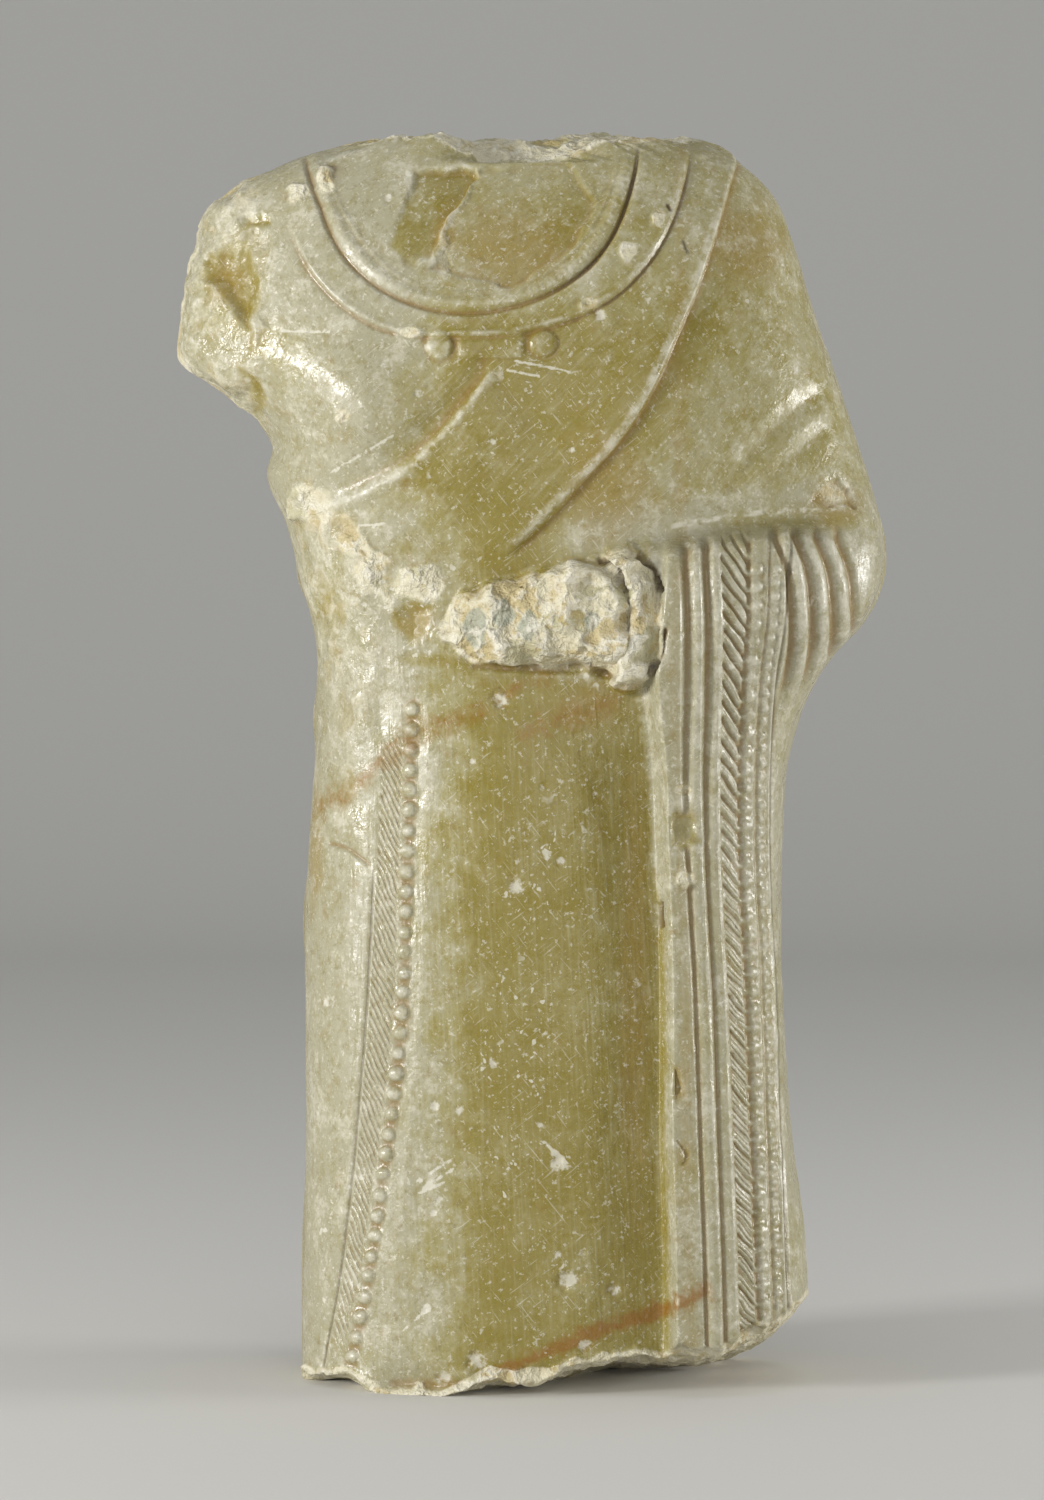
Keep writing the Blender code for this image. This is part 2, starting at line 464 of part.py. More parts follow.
def closed_mesh(name, grid, units):
    """Mesh of a closed grid: quads between the rings, and triangles round a point at each end."""
    rows, columns = grid.shape[:2]
    ends = np.stack([grid[0].mean(axis=0), grid[-1].mean(axis=0)])
    points = np.concatenate([grid.reshape(-1, 3), ends]) * units
    here = np.arange(columns)
    ahead = np.roll(here, -1)
    start = (np.arange(rows - 1) * columns)[:, None]
    quads = np.stack([start + here, start + ahead, start + ahead + columns, start + here + columns], axis=-1)
    first, last = rows * columns, rows * columns + 1
    below = np.stack([ahead, here, np.full(columns, first)], axis=-1)
    top = (rows - 1) * columns
    above = np.stack([top + here, top + ahead, np.full(columns, last)], axis=-1)
    mesh = bpy.data.meshes.new(name)
    mesh.from_pydata(points.tolist(), [], quads.reshape(-1, 4).tolist() + below.tolist() + above.tolist())
    return mesh


def stone():
    """Polished alabaster, honey and olive, slightly dull."""
    material = bpy.data.materials.new("polished_alabaster")
    material.use_nodes = True
    shader = material.node_tree.nodes["Principled BSDF"]
    shader.inputs["Base Color"].default_value = ALABASTER
    shader.inputs["Roughness"].default_value = ALABASTER_ROUGHNESS
    return material


def statue():
    """The carved solid with few facets, standing on z = 0 with the middle of its box at the origin."""
    columns, side_rows, cap_rows = (int(round(count)) for count in (COLUMNS, SIDE_ROWS, CAP_ROWS))
    mesh = closed_mesh("alabaster_fine", carved(columns, side_rows, cap_rows), UNIT)
    fine = bpy.data.objects.new("alabaster_fine", mesh)
    bpy.context.collection.objects.link(fine)
    fewer = fine.modifiers.new("fewer_facets", "DECIMATE")
    fewer.ratio = FACES_KEPT / (2 * len(mesh.polygons))
    shown = fine.evaluated_get(bpy.context.evaluated_depsgraph_get())
    coarse = bpy.data.meshes.new_from_object(shown)
    bpy.data.objects.remove(fine)
    points = np.empty(len(coarse.vertices) * 3)
    coarse.vertices.foreach_get("co", points)
    points = points.reshape(-1, 3)
    middle = 0.5 * (points[:, :2].min(axis=0) + points[:, :2].max(axis=0))
    points[:, :2] -= middle
    points[:, 2] = np.where(points[:, 2] < RESTS_BELOW * UNIT, 0.0, points[:, 2])
    coarse.vertices.foreach_set("co", points.ravel())
    coarse.name = "alabaster_statue"
    coarse.materials.clear()
    coarse.materials.append(stone())
    coarse.shade_smooth()
    coarse.set_sharp_from_angle(angle=math.radians(40.0))
    made = bpy.data.objects.new("alabaster_statue", coarse)
    bpy.context.collection.objects.link(made)
    return made


for leftover in list(bpy.data.objects):
    bpy.data.objects.remove(leftover)
statue()
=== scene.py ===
"""Headless draped figure in calcite alabaster: its carving, its stone and the studio round it."""

import math
from itertools import product

import bpy
import numpy as np
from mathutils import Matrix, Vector


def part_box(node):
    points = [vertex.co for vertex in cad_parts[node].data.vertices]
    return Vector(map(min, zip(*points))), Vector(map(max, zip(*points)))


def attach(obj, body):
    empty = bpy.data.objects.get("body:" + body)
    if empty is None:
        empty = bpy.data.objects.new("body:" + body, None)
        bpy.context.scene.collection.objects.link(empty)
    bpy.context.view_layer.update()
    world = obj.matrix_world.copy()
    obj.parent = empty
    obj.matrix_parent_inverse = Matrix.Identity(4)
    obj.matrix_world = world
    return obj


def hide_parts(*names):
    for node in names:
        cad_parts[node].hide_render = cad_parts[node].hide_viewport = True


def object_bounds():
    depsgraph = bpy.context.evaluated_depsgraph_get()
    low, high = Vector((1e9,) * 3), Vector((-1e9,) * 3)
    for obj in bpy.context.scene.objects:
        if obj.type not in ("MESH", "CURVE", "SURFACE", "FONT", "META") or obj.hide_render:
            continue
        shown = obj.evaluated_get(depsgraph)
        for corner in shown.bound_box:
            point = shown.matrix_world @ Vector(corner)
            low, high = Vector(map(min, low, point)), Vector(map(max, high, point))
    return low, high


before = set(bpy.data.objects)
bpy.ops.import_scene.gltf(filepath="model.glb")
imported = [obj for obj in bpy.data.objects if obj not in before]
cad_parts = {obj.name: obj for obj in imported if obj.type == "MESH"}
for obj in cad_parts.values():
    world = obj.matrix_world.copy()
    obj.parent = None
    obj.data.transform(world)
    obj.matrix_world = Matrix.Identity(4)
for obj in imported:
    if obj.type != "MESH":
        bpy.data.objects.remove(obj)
cad_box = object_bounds()

# The block. The figure was roughed out of one block of alabaster to a rounded box section that narrows at
# the waist, and is broken across the shins, the right shoulder and the neck. The surface S(round, up) is
# stacked rings. Lengths are in units, 98.3 of which make the height, and a front drawing places all carving.

UNITS_HIGH = 98.3
UNIT = float(cad_box[1][2] - cad_box[0][2]) / UNITS_HIGH
EYE_DISTANCE, EYE_TILT = 480.0, math.radians(2.5)
EYE_X, EYE_Z, DRAWING_LIFT = -0.79, 49.66, 1.52
SECTION_POWER = 2.35
TOP_RING, FOOT_FADE, HEAD_FADE = 97.7, 22.0, 2.4
UNDERSIDE_FALL = 0.2


def ramp(t):
    """Smooth step: 0 below 0, 1 above 1, and 3t^2 - 2t^3 between."""
    t = np.clip(t, 0.0, 1.0)
    return t * t * (3.0 - 2.0 * t)


def rise(value, start, end):
    """Smooth step from 0 where value is start to 1 where it is end."""
    return ramp((value - start) / (end - start))


def hump(t):
    """Bump of height 1 at t = 0 that runs out at t = -1 and t = 1: half of 1 + cos(pi t)."""
    return 0.5 + 0.5 * np.cos(math.pi * np.clip(t, -1.0, 1.0))


def through(*points):
    """Smooth curve through (place, value) points: cubic Hermite pieces, level beyond the two ends."""
    places, values = np.array(points, float).T
    slopes = np.gradient(values, places)

    def curve(t):
        """Cubic Hermite value at t, from the two nearest points and the slopes there."""
        t = np.clip(t, places[0], places[-1])
        i = np.clip(np.searchsorted(places, t) - 1, 0, len(places) - 2)
        gap = places[i + 1] - places[i]
        s = (t - places[i]) / gap
        return ((1 + 2 * s) * (1 - s) ** 2 * values[i] + s * (1 - s) ** 2 * gap * slopes[i]
                + s * s * (3 - 2 * s) * values[i + 1] + s * s * (s - 1) * gap * slopes[i + 1])

    return curve


def grain(points, size, seed):
    """Smooth seeded noise from -1 to 1: random values on a cubic lattice of the given size, blended."""
    table = np.random.default_rng(seed).uniform(-1.0, 1.0, (16, 16, 16))
    place = points / size
    cell = np.floor(place).astype(int)
    part = ramp(place - cell)
    total = np.zeros(points.shape[:-1])
    for corner in product((0, 1), repeat=3):
        weight = np.prod(np.where(corner, part, 1.0 - part), axis=-1)
        i, j, k = np.moveaxis((cell + corner) % 16, -1, 0)
        total += weight * table[i, j, k]
    return total


def scallops(points, size, seed):
    """Shell fracture: the squared distance, in sizes and at most 1, to the nearest of seeded centres."""
    centres = np.random.default_rng(seed).uniform(0.0, 1.0, (16, 16, 16, 3))
    place = points / size
    cell = np.floor(place).astype(int)
    nearest = np.ones(points.shape[:-1])
    for step in product((-1, 0, 1), repeat=3):
        i, j, k = np.moveaxis((cell + step) % 16, -1, 0)
        nearest = np.minimum(nearest, np.sum((place - cell - step - centres[i, j, k]) ** 2, axis=-1))
    return nearest


left_side = through((0, -18.2), (20, -17.85), (40, -17.8), (55, -17.0), (60, -17.1), (64.6, -18.25),
                    (69.4, -19.5), (72.9, -20.9), (75.3, -20.5), (78.8, -23.8), (81.2, -27.1), (85.9, -27.8),
                    (90.7, -26.5), (94.3, -25.4), (95.7, -23.2), (97.2, -20.0), (98.1, -18.3), (99.6, -13.6))
right_side = through((0, 21.9), (10.9, 21.3), (25, 20.2), (34.6, 19.7), (44, 19.8), (51.2, 20.4), (55, 21.6),
                     (58.7, 23.8), (61.1, 26.0), (64.6, 27.6), (67, 27.8), (70.5, 27.1), (75.3, 25.7),
                     (81.2, 23.8), (87, 21.8), (91.9, 20.4), (94.8, 19.1), (97.2, 16.75), (98.6, 14.4),
                     (99.6, 11.0))
left_trunk = through((0, -18.2), (40, -17.8), (55, -17.0), (66, -18.3), (76, -20.0), (86, -21.5), (93, -21.5),
                     (96, -20.0), (99.6, -13.6))
right_trunk = through((0, 21.9), (25, 20.2), (44, 19.8), (56, 20.2), (66, 21.3), (76, 22.3), (85, 21.8),
                      (94.8, 18.6), (98, 15.0), (99.6, 11.0))
front_depth = through((0, 12.0), (30, 11.9), (52, 11.6), (68, 12.0), (78, 12.9), (87, 12.1), (93, 10.2),
                      (97, 7.8), (99.6, 5.8))
back_depth = through((0, 12.6), (30, 12.3), (52, 11.9), (68, 12.6), (80, 13.6), (88, 13.2), (94, 11.4),
                     (97.5, 9.6), (99.6, 8.0))
lower_edge = through((-18.1, 1.2), (-13.6, 1.0), (-11.8, 0.0), (-8.8, 0.0), (-6.0, 0.4), (-2.5, 1.2),
                     (0.6, 1.4), (5.4, 2.8), (9.0, 3.0), (13.3, 3.05), (16.4, 3.8), (19.6, 5.3), (21.8, 7.3))


def underside(x, y):
    """Height of the broken underside: the front edge's height less a fall behind it, never below 0."""
    behind = y + 12.0 * np.sqrt(np.clip(1.0 - (x / 23.0) ** 2, 0.0, 1.0))
    places = np.stack([x, y, 0 * x], axis=-1)
    rough = 0.6 * scallops(places, 5.0, 21) + 0.35 * grain(places, 1.4, 22) + 0.16 * grain(places, 0.5, 23)
    lifted = lower_edge(x) * 0.98 - UNDERSIDE_FALL * np.clip(behind, 0.0, None)
    return np.clip(lifted + rough * rise(lifted, -0.6, 0.6), 0.0, None)


def neck_break(x, y):
    """Height of the broken neck: a plane that rises to the back, dipped in front, with shell fractures."""
    dip = 1.7 * rise(-y, 0.5, 6.0) * hump((x + 1.0) / 8.5)
    places = np.stack([x, y, 0 * x], axis=-1)
    rough = 0.9 * scallops(places, 6.5, 31) - 0.4 + 0.15 * grain(places, 1.3, 32)
    fine = 0.45 * scallops(places, 1.4, 33) - 0.1 + 0.16 * grain(places, 0.5, 34)
    return TOP_RING + 0.06 * y - dip + rough + fine


def angles(count):
    """Angles round a ring, in equal steps of weighted length: closer in front, closest over the borders."""
    fine = np.linspace(0.0, 2.0 * math.pi, 4001)
    power = 2.0 / SECTION_POWER
    x = 20.0 * np.sign(np.cos(fine)) * np.abs(np.cos(fine)) ** power
    y = 12.0 * np.sign(np.sin(fine)) * np.abs(np.sin(fine)) ** power
    bordered = 1.2 * (np.abs(x[1:] - 14.5) < 5.5) + 0.8 * (np.abs(x[1:] + 13.0) < 5.0)
    weight = np.where(y[1:] + y[:-1] < 4.0, 2.6 + bordered, 1.0)
    travelled = np.concatenate([[0.0], np.cumsum(np.hypot(np.diff(x), np.diff(y)) * weight)])
    return np.interp(np.linspace(0.0, travelled[-1], count + 1)[:-1], travelled, fine)


def ring(level, turn):
    """Rounded box section: x = cos^(2/n), y = sin^(2/n), scaled to each side's own reach at that level.

    The shoulder and the elbow stand out from the trunk only near the middle of the depth.
    """
    far = EYE_DISTANCE - (level - EYE_Z) * math.sin(EYE_TILT)
    height = EYE_Z + DRAWING_LIFT + (level - EYE_Z) * math.cos(EYE_TILT) * EYE_DISTANCE / far
    power = 2.0 / SECTION_POWER
    across = np.sign(np.cos(turn)) * np.abs(np.cos(turn)) ** power
    along = np.sign(np.sin(turn)) * np.abs(np.sin(turn)) ** power
    near_middle = rise(1.0 - np.abs(along + 0.12), 0.0, 0.8)
    middle = 0.5 * (left_trunk(height) + right_trunk(height))
    left = left_trunk(height) + (left_side(height) - left_trunk(height)) * near_middle
    right = right_trunk(height) + (right_side(height) - right_trunk(height)) * near_middle
    x = middle + np.where(across > 0.0, right - middle, middle - left) * across
    x = EYE_X + (x - EYE_X) * far / EYE_DISTANCE
    y = np.where(along > 0.0, back_depth(height), front_depth(height)) * along
    return x, y


def block(columns, side_rows, cap_rows):
    """Closed base surface as rows of rings: the underside, the sides and the neck break.

    Each end shrinks its last ring towards a point. Between them a ring's height is its level, lifted near the
    foot by the underside and near the top by the neck break.
    """
    knots, shares = (0.0, 90.0, 93.5, TOP_RING), (0.0, 0.88, 0.93, 1.0)
    level = np.interp(np.linspace(0.0, 1.0, side_rows), shares, knots)[:, None]
    x, y = ring(level, angles(columns)[None, :])
    foot = underside(x[:1], y[:1]) * rise(1.0 - level / FOOT_FADE, 0.0, 1.0)
    head = (neck_break(x[-1:], y[-1:]) - TOP_RING) * rise(level, TOP_RING - HEAD_FADE, TOP_RING)
    sides = np.stack([x, y, level + foot + head], axis=-1)
    shrink = 1.0 - (np.arange(1, cap_rows + 1) / (cap_rows + 1.0))[:, None] ** 0.8
    caps = []
    for edge, height in ((sides[0], underside), (sides[-1], neck_break)):
        centre = edge[:, :2].mean(axis=0)
        flat = centre + (edge[None, :, :2] - centre) * shrink[..., None]
        caps.append(np.concatenate([flat, height(flat[..., 0], flat[..., 1])[..., None]], axis=-1))
    return np.concatenate([caps[0][::-1], sides, caps[1]], axis=0)


def drawn(points):
    """Place of surface points on the front drawing: central projection to the eye, in units."""
    x, y, z = points[..., 0], points[..., 1], points[..., 2] - EYE_Z
    scale = EYE_DISTANCE / (EYE_DISTANCE + y * math.cos(EYE_TILT) - z * math.sin(EYE_TILT))
    across = EYE_X + (x - EYE_X) * scale
    up = EYE_Z + DRAWING_LIFT + (y * math.sin(EYE_TILT) + z * math.cos(EYE_TILT)) * scale
    return across, up


def normals(grid):
    """Unit outward normals of a closed grid: cross product of its steps round and up."""
    around = np.roll(grid, -1, axis=1) - np.roll(grid, 1, axis=1)
    out = np.cross(around, np.gradient(grid, axis=0))
    return out / np.maximum(np.linalg.norm(out, axis=-1, keepdims=True), 1e-12)


# The shawl. It crosses the chest from the viewer's left, covers the bent left arm, gathers in pleats at the
# elbow and hangs down the viewer's right as a thick fall with a worked border, all in the same stone.
# The border's rows are placed by their distance past the line called hem, on which the border starts.

SHAWL_STEP = 2.6
BEAD_PITCH, FINE_BEAD_PITCH, STROKE_PITCH = 1.45, 1.1, 0.55
PITS_AT, BEADS_AT, LINE_AT, FINE_BEADS_AT, RIDGE_AT, OUTER_LINE_AT = 1.70, 2.15, 2.85, 3.25, 3.72, 4.05
shawl_fall = through((0, 10.4), (10.8, 10.35), (22, 10.1), (33.1, 10.1), (42.5, 9.8), (50.3, 9.5),
                     (56.7, 8.9), (62.6, 9.4), (66.2, 9.7))
forearm_line = through((-6, 65.4), (-2.1, 66.0), (0.6, 66.7), (3.8, 67.4), (7, 68.1), (13.3, 69.3),
                       (19.6, 70.1), (24.7, 70.0), (28, 69.6))
hem = through((0, 16.5), (10.8, 16.2), (22, 15.8), (33.1, 15.4), (42.5, 14.9), (50.3, 14.85), (56.7, 15.0),
              (62.6, 15.0), (66.2, 14.8))
hem_spread = through((0, 0.98), (30, 0.97), (50.3, 1.02), (56.6, 1.08), (62, 1.28), (66.2, 1.4))
stroke_slope = through((0, 1.15), (44, 1.25), (60, 1.55))
long_fold = through((66.2, -2.5), (68.2, -0.6), (70.1, 1.4), (72.5, 3.7), (74.3, 5.5), (77.2, 7.8),
                    (80.3, 9.6), (83.6, 11.1), (87, 12.6), (91.3, 14.1), (97.4, 15.9))


def towards_line(x, z, points):
    """Distance on the drawing from (x, z) to the open line through the points."""
    nearest = np.full(np.shape(x), 1e9)
    for (ax, az), (bx, bz) in zip(points, points[1:]):
        length = (bx - ax) ** 2 + (bz - az) ** 2
        share = np.clip(((x - ax) * (bx - ax) + (z - az) * (bz - az)) / length, 0.0, 1.0)
        nearest = np.minimum(nearest, np.hypot(x - ax - share * (bx - ax), z - az - share * (bz - az)))
    return nearest


def uneven(count_from, seed):
    """Seeded shares from -1 to 1, one to each whole number, so that repeated marks differ a little."""
    table = np.random.default_rng(seed).uniform(-1.0, 1.0, 257)
    return table[np.round(count_from).astype(int) % 257]


def beads(x, z, row, pitch, radius, low, high, seed):
    """Row of round beads along x = row(z): the height of a dome over each bead's centre, sizes uneven."""
    count = np.round((z - low) / pitch)
    size = radius * (1.0 + 0.10 * uneven(count, seed))
    centre = count * pitch + low + 0.06 * uneven(count, seed + 1)
    kept = (centre >= low) & (centre <= high)
    square = ((x - row(centre)) ** 2 + (z - centre) ** 2) / size ** 2
    worn = 1.0 - 0.3 * np.clip(uneven(count, seed + 2), 0.0, 1.0)
    return np.where(kept, worn * size * np.sqrt(np.clip(1.0 - square, 0.0, 1.0)), 0.0)


def forearm(x, z):
    """Shawl over the bent forearm: a channel under the chest, then a swell that runs on down as the fall."""
    below = forearm_line(x) - z
    swell = through((0, 0.0), (0.6, -0.35), (1.2, 0.5), (2.1, 2.1), (3.4, 3.0), (5.0, 3.4), (8.0, 3.6),
                    (14.0, 3.0), (20.0, SHAWL_STEP), (70.0, SHAWL_STEP))
    soft = SHAWL_STEP * rise(below, -7.0, 9.0)
    elbow = rise(x, 21.0, 26.0)
    return swell(below) * (1.0 - elbow) + soft * elbow


def shawl_strokes(x, z, wavy):
    """Slanting strokes of the border: their running count, and 1 inside the strip that they fill."""
    from_hem = x - hem(z)
    slanted = (z + stroke_slope(z) * from_hem) / STROKE_PITCH + 0.55 * wavy
    strip = rise(from_hem, 0.0, 0.2) * rise(1.5 * hem_spread(z) - from_hem, 0.0, 0.25)
    strip = strip * (1.0 - 0.75 * rise(z, 28.0, 46.0))
    return slanted, strip * rise(forearm_line(x) - z, 1.2, 2.6) * rise(z, 3.0, 6.0)


def border_row(at):
    """Line of a row of the border, as a function of height: the hem plus at times its spread."""
    return lambda z: hem(z) + at * hem_spread(z)


def shawl_border(x, z, wavy):
    """Border of the fall: two grooves, slanting leaves, a row of beads with pits, finer beads and a line."""
    from_hem = x - hem(z)
    spread = hem_spread(z)
    high = rise(z, 36.0, 60.0)
    cut = -(0.26 + 0.16 * high) * hump((from_hem + 2.52 + 0.15 * high) / (0.40 + 0.36 * high))
    cut -= (0.26 + 0.14 * high) * hump((from_hem + 1.05) / (0.36 + 0.30 * high))
    cut += 0.09 * hump((from_hem + 1.8) / 0.5) + 0.10 * hump((from_hem + 0.35) / 0.4)
    cut -= 0.12 * rise(from_hem, 0.0, 0.2) * rise(2.7 * spread - from_hem, 0.0, 0.3)
    leaf = (z + stroke_slope(z) * from_hem) / BEAD_PITCH + 0.2 * wavy
    strip = rise(from_hem, 0.0, 0.25) * rise(1.75 * spread - from_hem, 0.0, 0.3)
    cut -= (0.14 + 0.20 * high) * hump((leaf - np.round(leaf)) / 0.27) * strip
    count = z / BEAD_PITCH + 0.15 * wavy
    bridge = 1.0 - 0.8 * hump((count - np.round(count)) / 0.24)
    pits = hump((from_hem - PITS_AT * spread) / 0.36) * bridge
    cut -= 0.26 * pits
    cut -= 0.14 * hump((from_hem - LINE_AT * spread) / 0.24)
    ridge = 0.18 * hump((from_hem - RIDGE_AT * spread) / 0.24)
    cut += ridge - 0.12 * hump((from_hem - OUTER_LINE_AT * spread) / 0.22)
    first = beads(x, z, border_row(BEADS_AT), BEAD_PITCH, 0.46, 4.6, 66.0, 51)
    second = beads(x, z, border_row(FINE_BEADS_AT), FINE_BEAD_PITCH, 0.30, 5.0, 66.0, 61)
    shown = rise(forearm_line(x) - z, 0.9, 2.4)
    pits = pits + 0.6 * hump((from_hem - LINE_AT * spread) / 0.26)
    pits = pits + (0.25 + 0.35 * high) * hump((leaf - np.round(leaf)) / 0.2) * strip
    return (cut + 0.5 * first + 0.6 * second) * shown, pits * shown


def shawl_folds(x, z):
    """Shawl across the chest: its slanting upper edge, the long fold from the shoulder and the arm's furrows.

    The second result is the distance past the nearer of the two edges.
    """
    edge = through((-16.5, 71.1), (-14.7, 71.5), (-12.2, 72.6), (-8.2, 75.4), (-6.2, 77.6), (-3.2, 81.3))
    beyond = (edge(x) - z) / math.hypot(1.0, 0.85)
    edge_ends = rise(x, -17.5, -13.0) * rise(-x, 2.6 - 0.7 * np.clip(81.3 - z, 0.0, 20.0), 4.2)
    over = 0.34 * rise(beyond, -0.4, 0.5) * rise(12.0 - beyond, 0.0, 11.0) + 0.10 * hump((beyond - 0.5) / 0.9)
    over -= 0.20 * hump((beyond + 0.8) / 1.6)
    slant = through((66.2, 0.70), (74.3, 0.72), (83.6, 0.90), (97.4, 0.97))
    past = (x - long_fold(z)) * slant(z)
    sharp = 0.40 + 0.3 * rise(76.0 - z, 0.0, 8.0)
    crest = 0.28 * rise(past, -4.5, 0.0) - 0.50 * rise(past, 0.0, sharp) + 0.22 * rise(past, 0.6, 6.0)
    crest += 0.04 * hump((past + 0.15) / 0.5)
    upper_furrow = [(22.2, 79.0), (20.4, 77.6), (18.4, 75.6), (16.6, 73.3), (15.5, 71.9)]
    lower_furrow = [(22.6, 76.1), (20.2, 74.0), (18.3, 71.8)]
    furrows = 0.28 * hump(towards_line(x, z, upper_furrow) / 1.5)
    furrows += 0.20 * hump(towards_line(x, z, lower_furrow) / 1.2)
    place = np.where((np.abs(beyond) < np.abs(past)) & (x < -2.0), 0.15 - beyond, past)
    return over * edge_ends + crest * rise(z, 66.0, 68.0) - furrows * rise(z, 70.0, 72.0), place


def elbow_pleats(x, z):
    """Pleats that hang from the bent elbow: four curved grooves with round ridges between them."""
    lean = through((54.0, -1.3), (58.3, -0.1), (63.0, 0.0), (65.7, -0.4), (68.0, -1.3))
    between = rise(z, 53.0, 58.0) * rise(69.4 - z, 0.0, 1.8)
    cuts = sum(hump((x - place - lean(z)) / 0.55) for place in (20.5, 22.1, 23.75, 25.4))
    ridges = sum(hump((x - place - lean(z)) / 0.8) for place in (21.3, 22.9, 24.6))
    return (0.2 * ridges - 0.36 * cuts) * between


def back_folds(x, z):
    """Shawl on the back: a slanting upper edge to the shoulder, and folds that spread below it."""
    edge = 70.0 + (x + 19.0) * 0.64
    below = (edge - z) / math.hypot(1.0, 0.64)
    over = 0.5 * rise(below, -0.2, 0.7) + 0.3 * hump((below - 0.9) / 1.0)
    away = np.hypot(x - 26.0, z - 74.0)
    fan = np.degrees(np.arctan2(z - 74.0, 26.0 - x))
    rays = ((-14, 3.5), (-27, 4.0), (-41, 4.5), (-56, 5.0), (-72, 5.0))
    folds = sum(0.55 * hump((fan - turn) / wide) for turn, wide in rays)
    spine = 0.7 * hump((x + 2.0) / 6.0) * hump((z - 84.0) / 13.0)
    return over + folds * rise(away, 8.0, 22.0) * rise(below, 0.5, 3.0) - spine


# The clasped hands. They stood out at the waist and are battered to a lump of pale facets, with the knots of
# a bracelet round the wrist on the viewer's right, in the same stone. A flake plane is a point, its height
# and its two slopes. A crevice is a line, its half width, its depth and how dark it is painted; round the
# hands and wrist and along the line under the hands that darkening is painted shade, and the short ones on
# the fall and the upper right are dark lines.

HAND_STEP = 3.4
HAND = [(-7.7, 60.4), (-5.0, 57.9), (3.2, 57.3), (6.6, 57.0), (8.1, 59.1), (8.1, 63.2), (6.8, 65.5),
        (4.6, 66.5), (-1.9, 65.0), (-6.2, 63.6)]
FLAKED = ((-4.5, 60.7, 1.75, 0.16, 0.04), (-0.3, 61.1, 2.75, 0.05, -0.08), (4.4, 61.0, 3.15, -0.04, 0.07))
WRIST = [(6.9, 66.2), (8.0, 65.2), (8.6, 63.4), (8.85, 61.5), (8.8, 59.8), (8.3, 58.1), (7.5, 57.2)]
CREVICES = (([(5.3, 66.3), (6.6, 65.2), (7.4, 63.6)], 0.26, 0.5, 0.9),
            ([(7.6, 63.2), (7.7, 60.3), (7.4, 57.8)], 0.24, 0.25, 0.3),
            ([(8.6, 66.6), (9.7, 65.4), (10.2, 63.8)], 0.30, 0.6, 0.9),
            ([(10.5, 60.6), (10.3, 58.8), (9.3, 57.3)], 0.36, 0.6, 0.8),
            ([(-4.6, 57.8), (1.5, 57.4), (4.0, 57.6), (6.6, 56.8)], 0.4, 0.2, 0.3),
            ([(10.2, 39.1), (10.25, 37.3)], 0.2, 0.5, 0.9), ([(10.7, 94.1), (10.9, 93.7)], 0.25, 0.2, 0.8),
            ([(11.9, 91.3), (12.2, 90.4)], 0.22, 0.1, 0.8))


def inside(x, z, corners):
    """Depth inside a convex outline, its corners given anticlockwise: the least distance to a side."""
    depth = np.full(np.shape(x), 1e9)
    for (ax, az), (bx, bz) in zip(corners, corners[1:] + corners[:1]):
        across = ((bx - ax) * (z - az) - (bz - az) * (x - ax)) / math.hypot(bx - ax, bz - az)
        depth = np.minimum(depth, across)
    return depth


def dome(x, z, middle, reach, power):
    """Boulder on the drawing: sqrt(1 - far^power), with far the elliptical distance in reaches."""
    far = np.hypot((x - middle[0]) / reach[0], (z - middle[1]) / reach[1])
    return np.sqrt(np.clip(1.0 - far ** power, 0.0, 1.0))


def hand(x, z, wavy, torn):
    """Clasped hands and wrist: a boulder cut by flake planes, and a lumpy round band beside it."""
    depth = inside(x + 0.6 * wavy + 0.3 * torn, z + 0.45 * wavy - 0.3 * torn, HAND)
    rounded = np.sqrt(1.0 - (1.0 - np.clip(depth / 2.6, 0.0, 1.0)) ** 2)
    lump = HAND_STEP * (0.5 + 0.5 * rise(x, -7.0, 2.5)) * rounded
    lump = lump + (0.5 * wavy + 0.3 * torn) * rise(depth, 0.0, 1.5)
    for at_x, at_z, level, lean_x, lean_z in FLAKED:
        lump = np.minimum(lump, level + lean_x * (x - at_x) + lean_z * (z - at_z))
    across = towards_line(x + 0.25 * torn, z, WRIST) / 1.65
    wrist = (HAND_STEP - 0.5) * np.sqrt(np.clip(1.0 - across ** 2.5, 0.0, 1.0))
    return np.maximum(lump, wrist) * rise(forearm_line(x) - z, 0.2, 1.8)


# The dress. It falls plain from the chest to the shins. On the viewer's left one edge laps over with a bead
# row and slanting strokes, and the front panel is flat and polished. It is carved from the same stone.

FLAP_BEAD_PITCH, FLAP_STROKE_PITCH = 1.6, 0.80
flap_edge = through((0, -12.1), (7.7, -11.2), (13.3, -10.6), (19.6, -10.0), (25.1, -9.5), (31.4, -9.0),
                    (39.3, -8.6), (55.1, -8.3))
flap_row = through((0, -14.9), (3.8, -14.2), (8.5, -13.2), (17.9, -11.8), (25.1, -10.8), (32.7, -10.2),
                   (39.3, -10.0), (54.7, -9.5))
flap_line = through((0, -17.0), (3.8, -16.3), (9.3, -15.3), (15.6, -14.5), (28.3, -13.3), (40.9, -12.6),
                    (55.1, -11.9))


def flap_strokes(x, z, wavy):
    """Slanting strokes of the overlap: their running count, and 1 inside the strip that they fill."""
    from_line = x - flap_line(z)
    slanted = (z + 1.9 * from_line) / FLAP_STROKE_PITCH + 0.45 * wavy
    strip = rise(from_line, 0.15, 0.4) * rise(flap_row(z) - 0.55 - x, 0.0, 0.3)
    return slanted, strip * rise(53.0 - z, 0.0, 3.0) * rise(z, 3.0, 6.0)


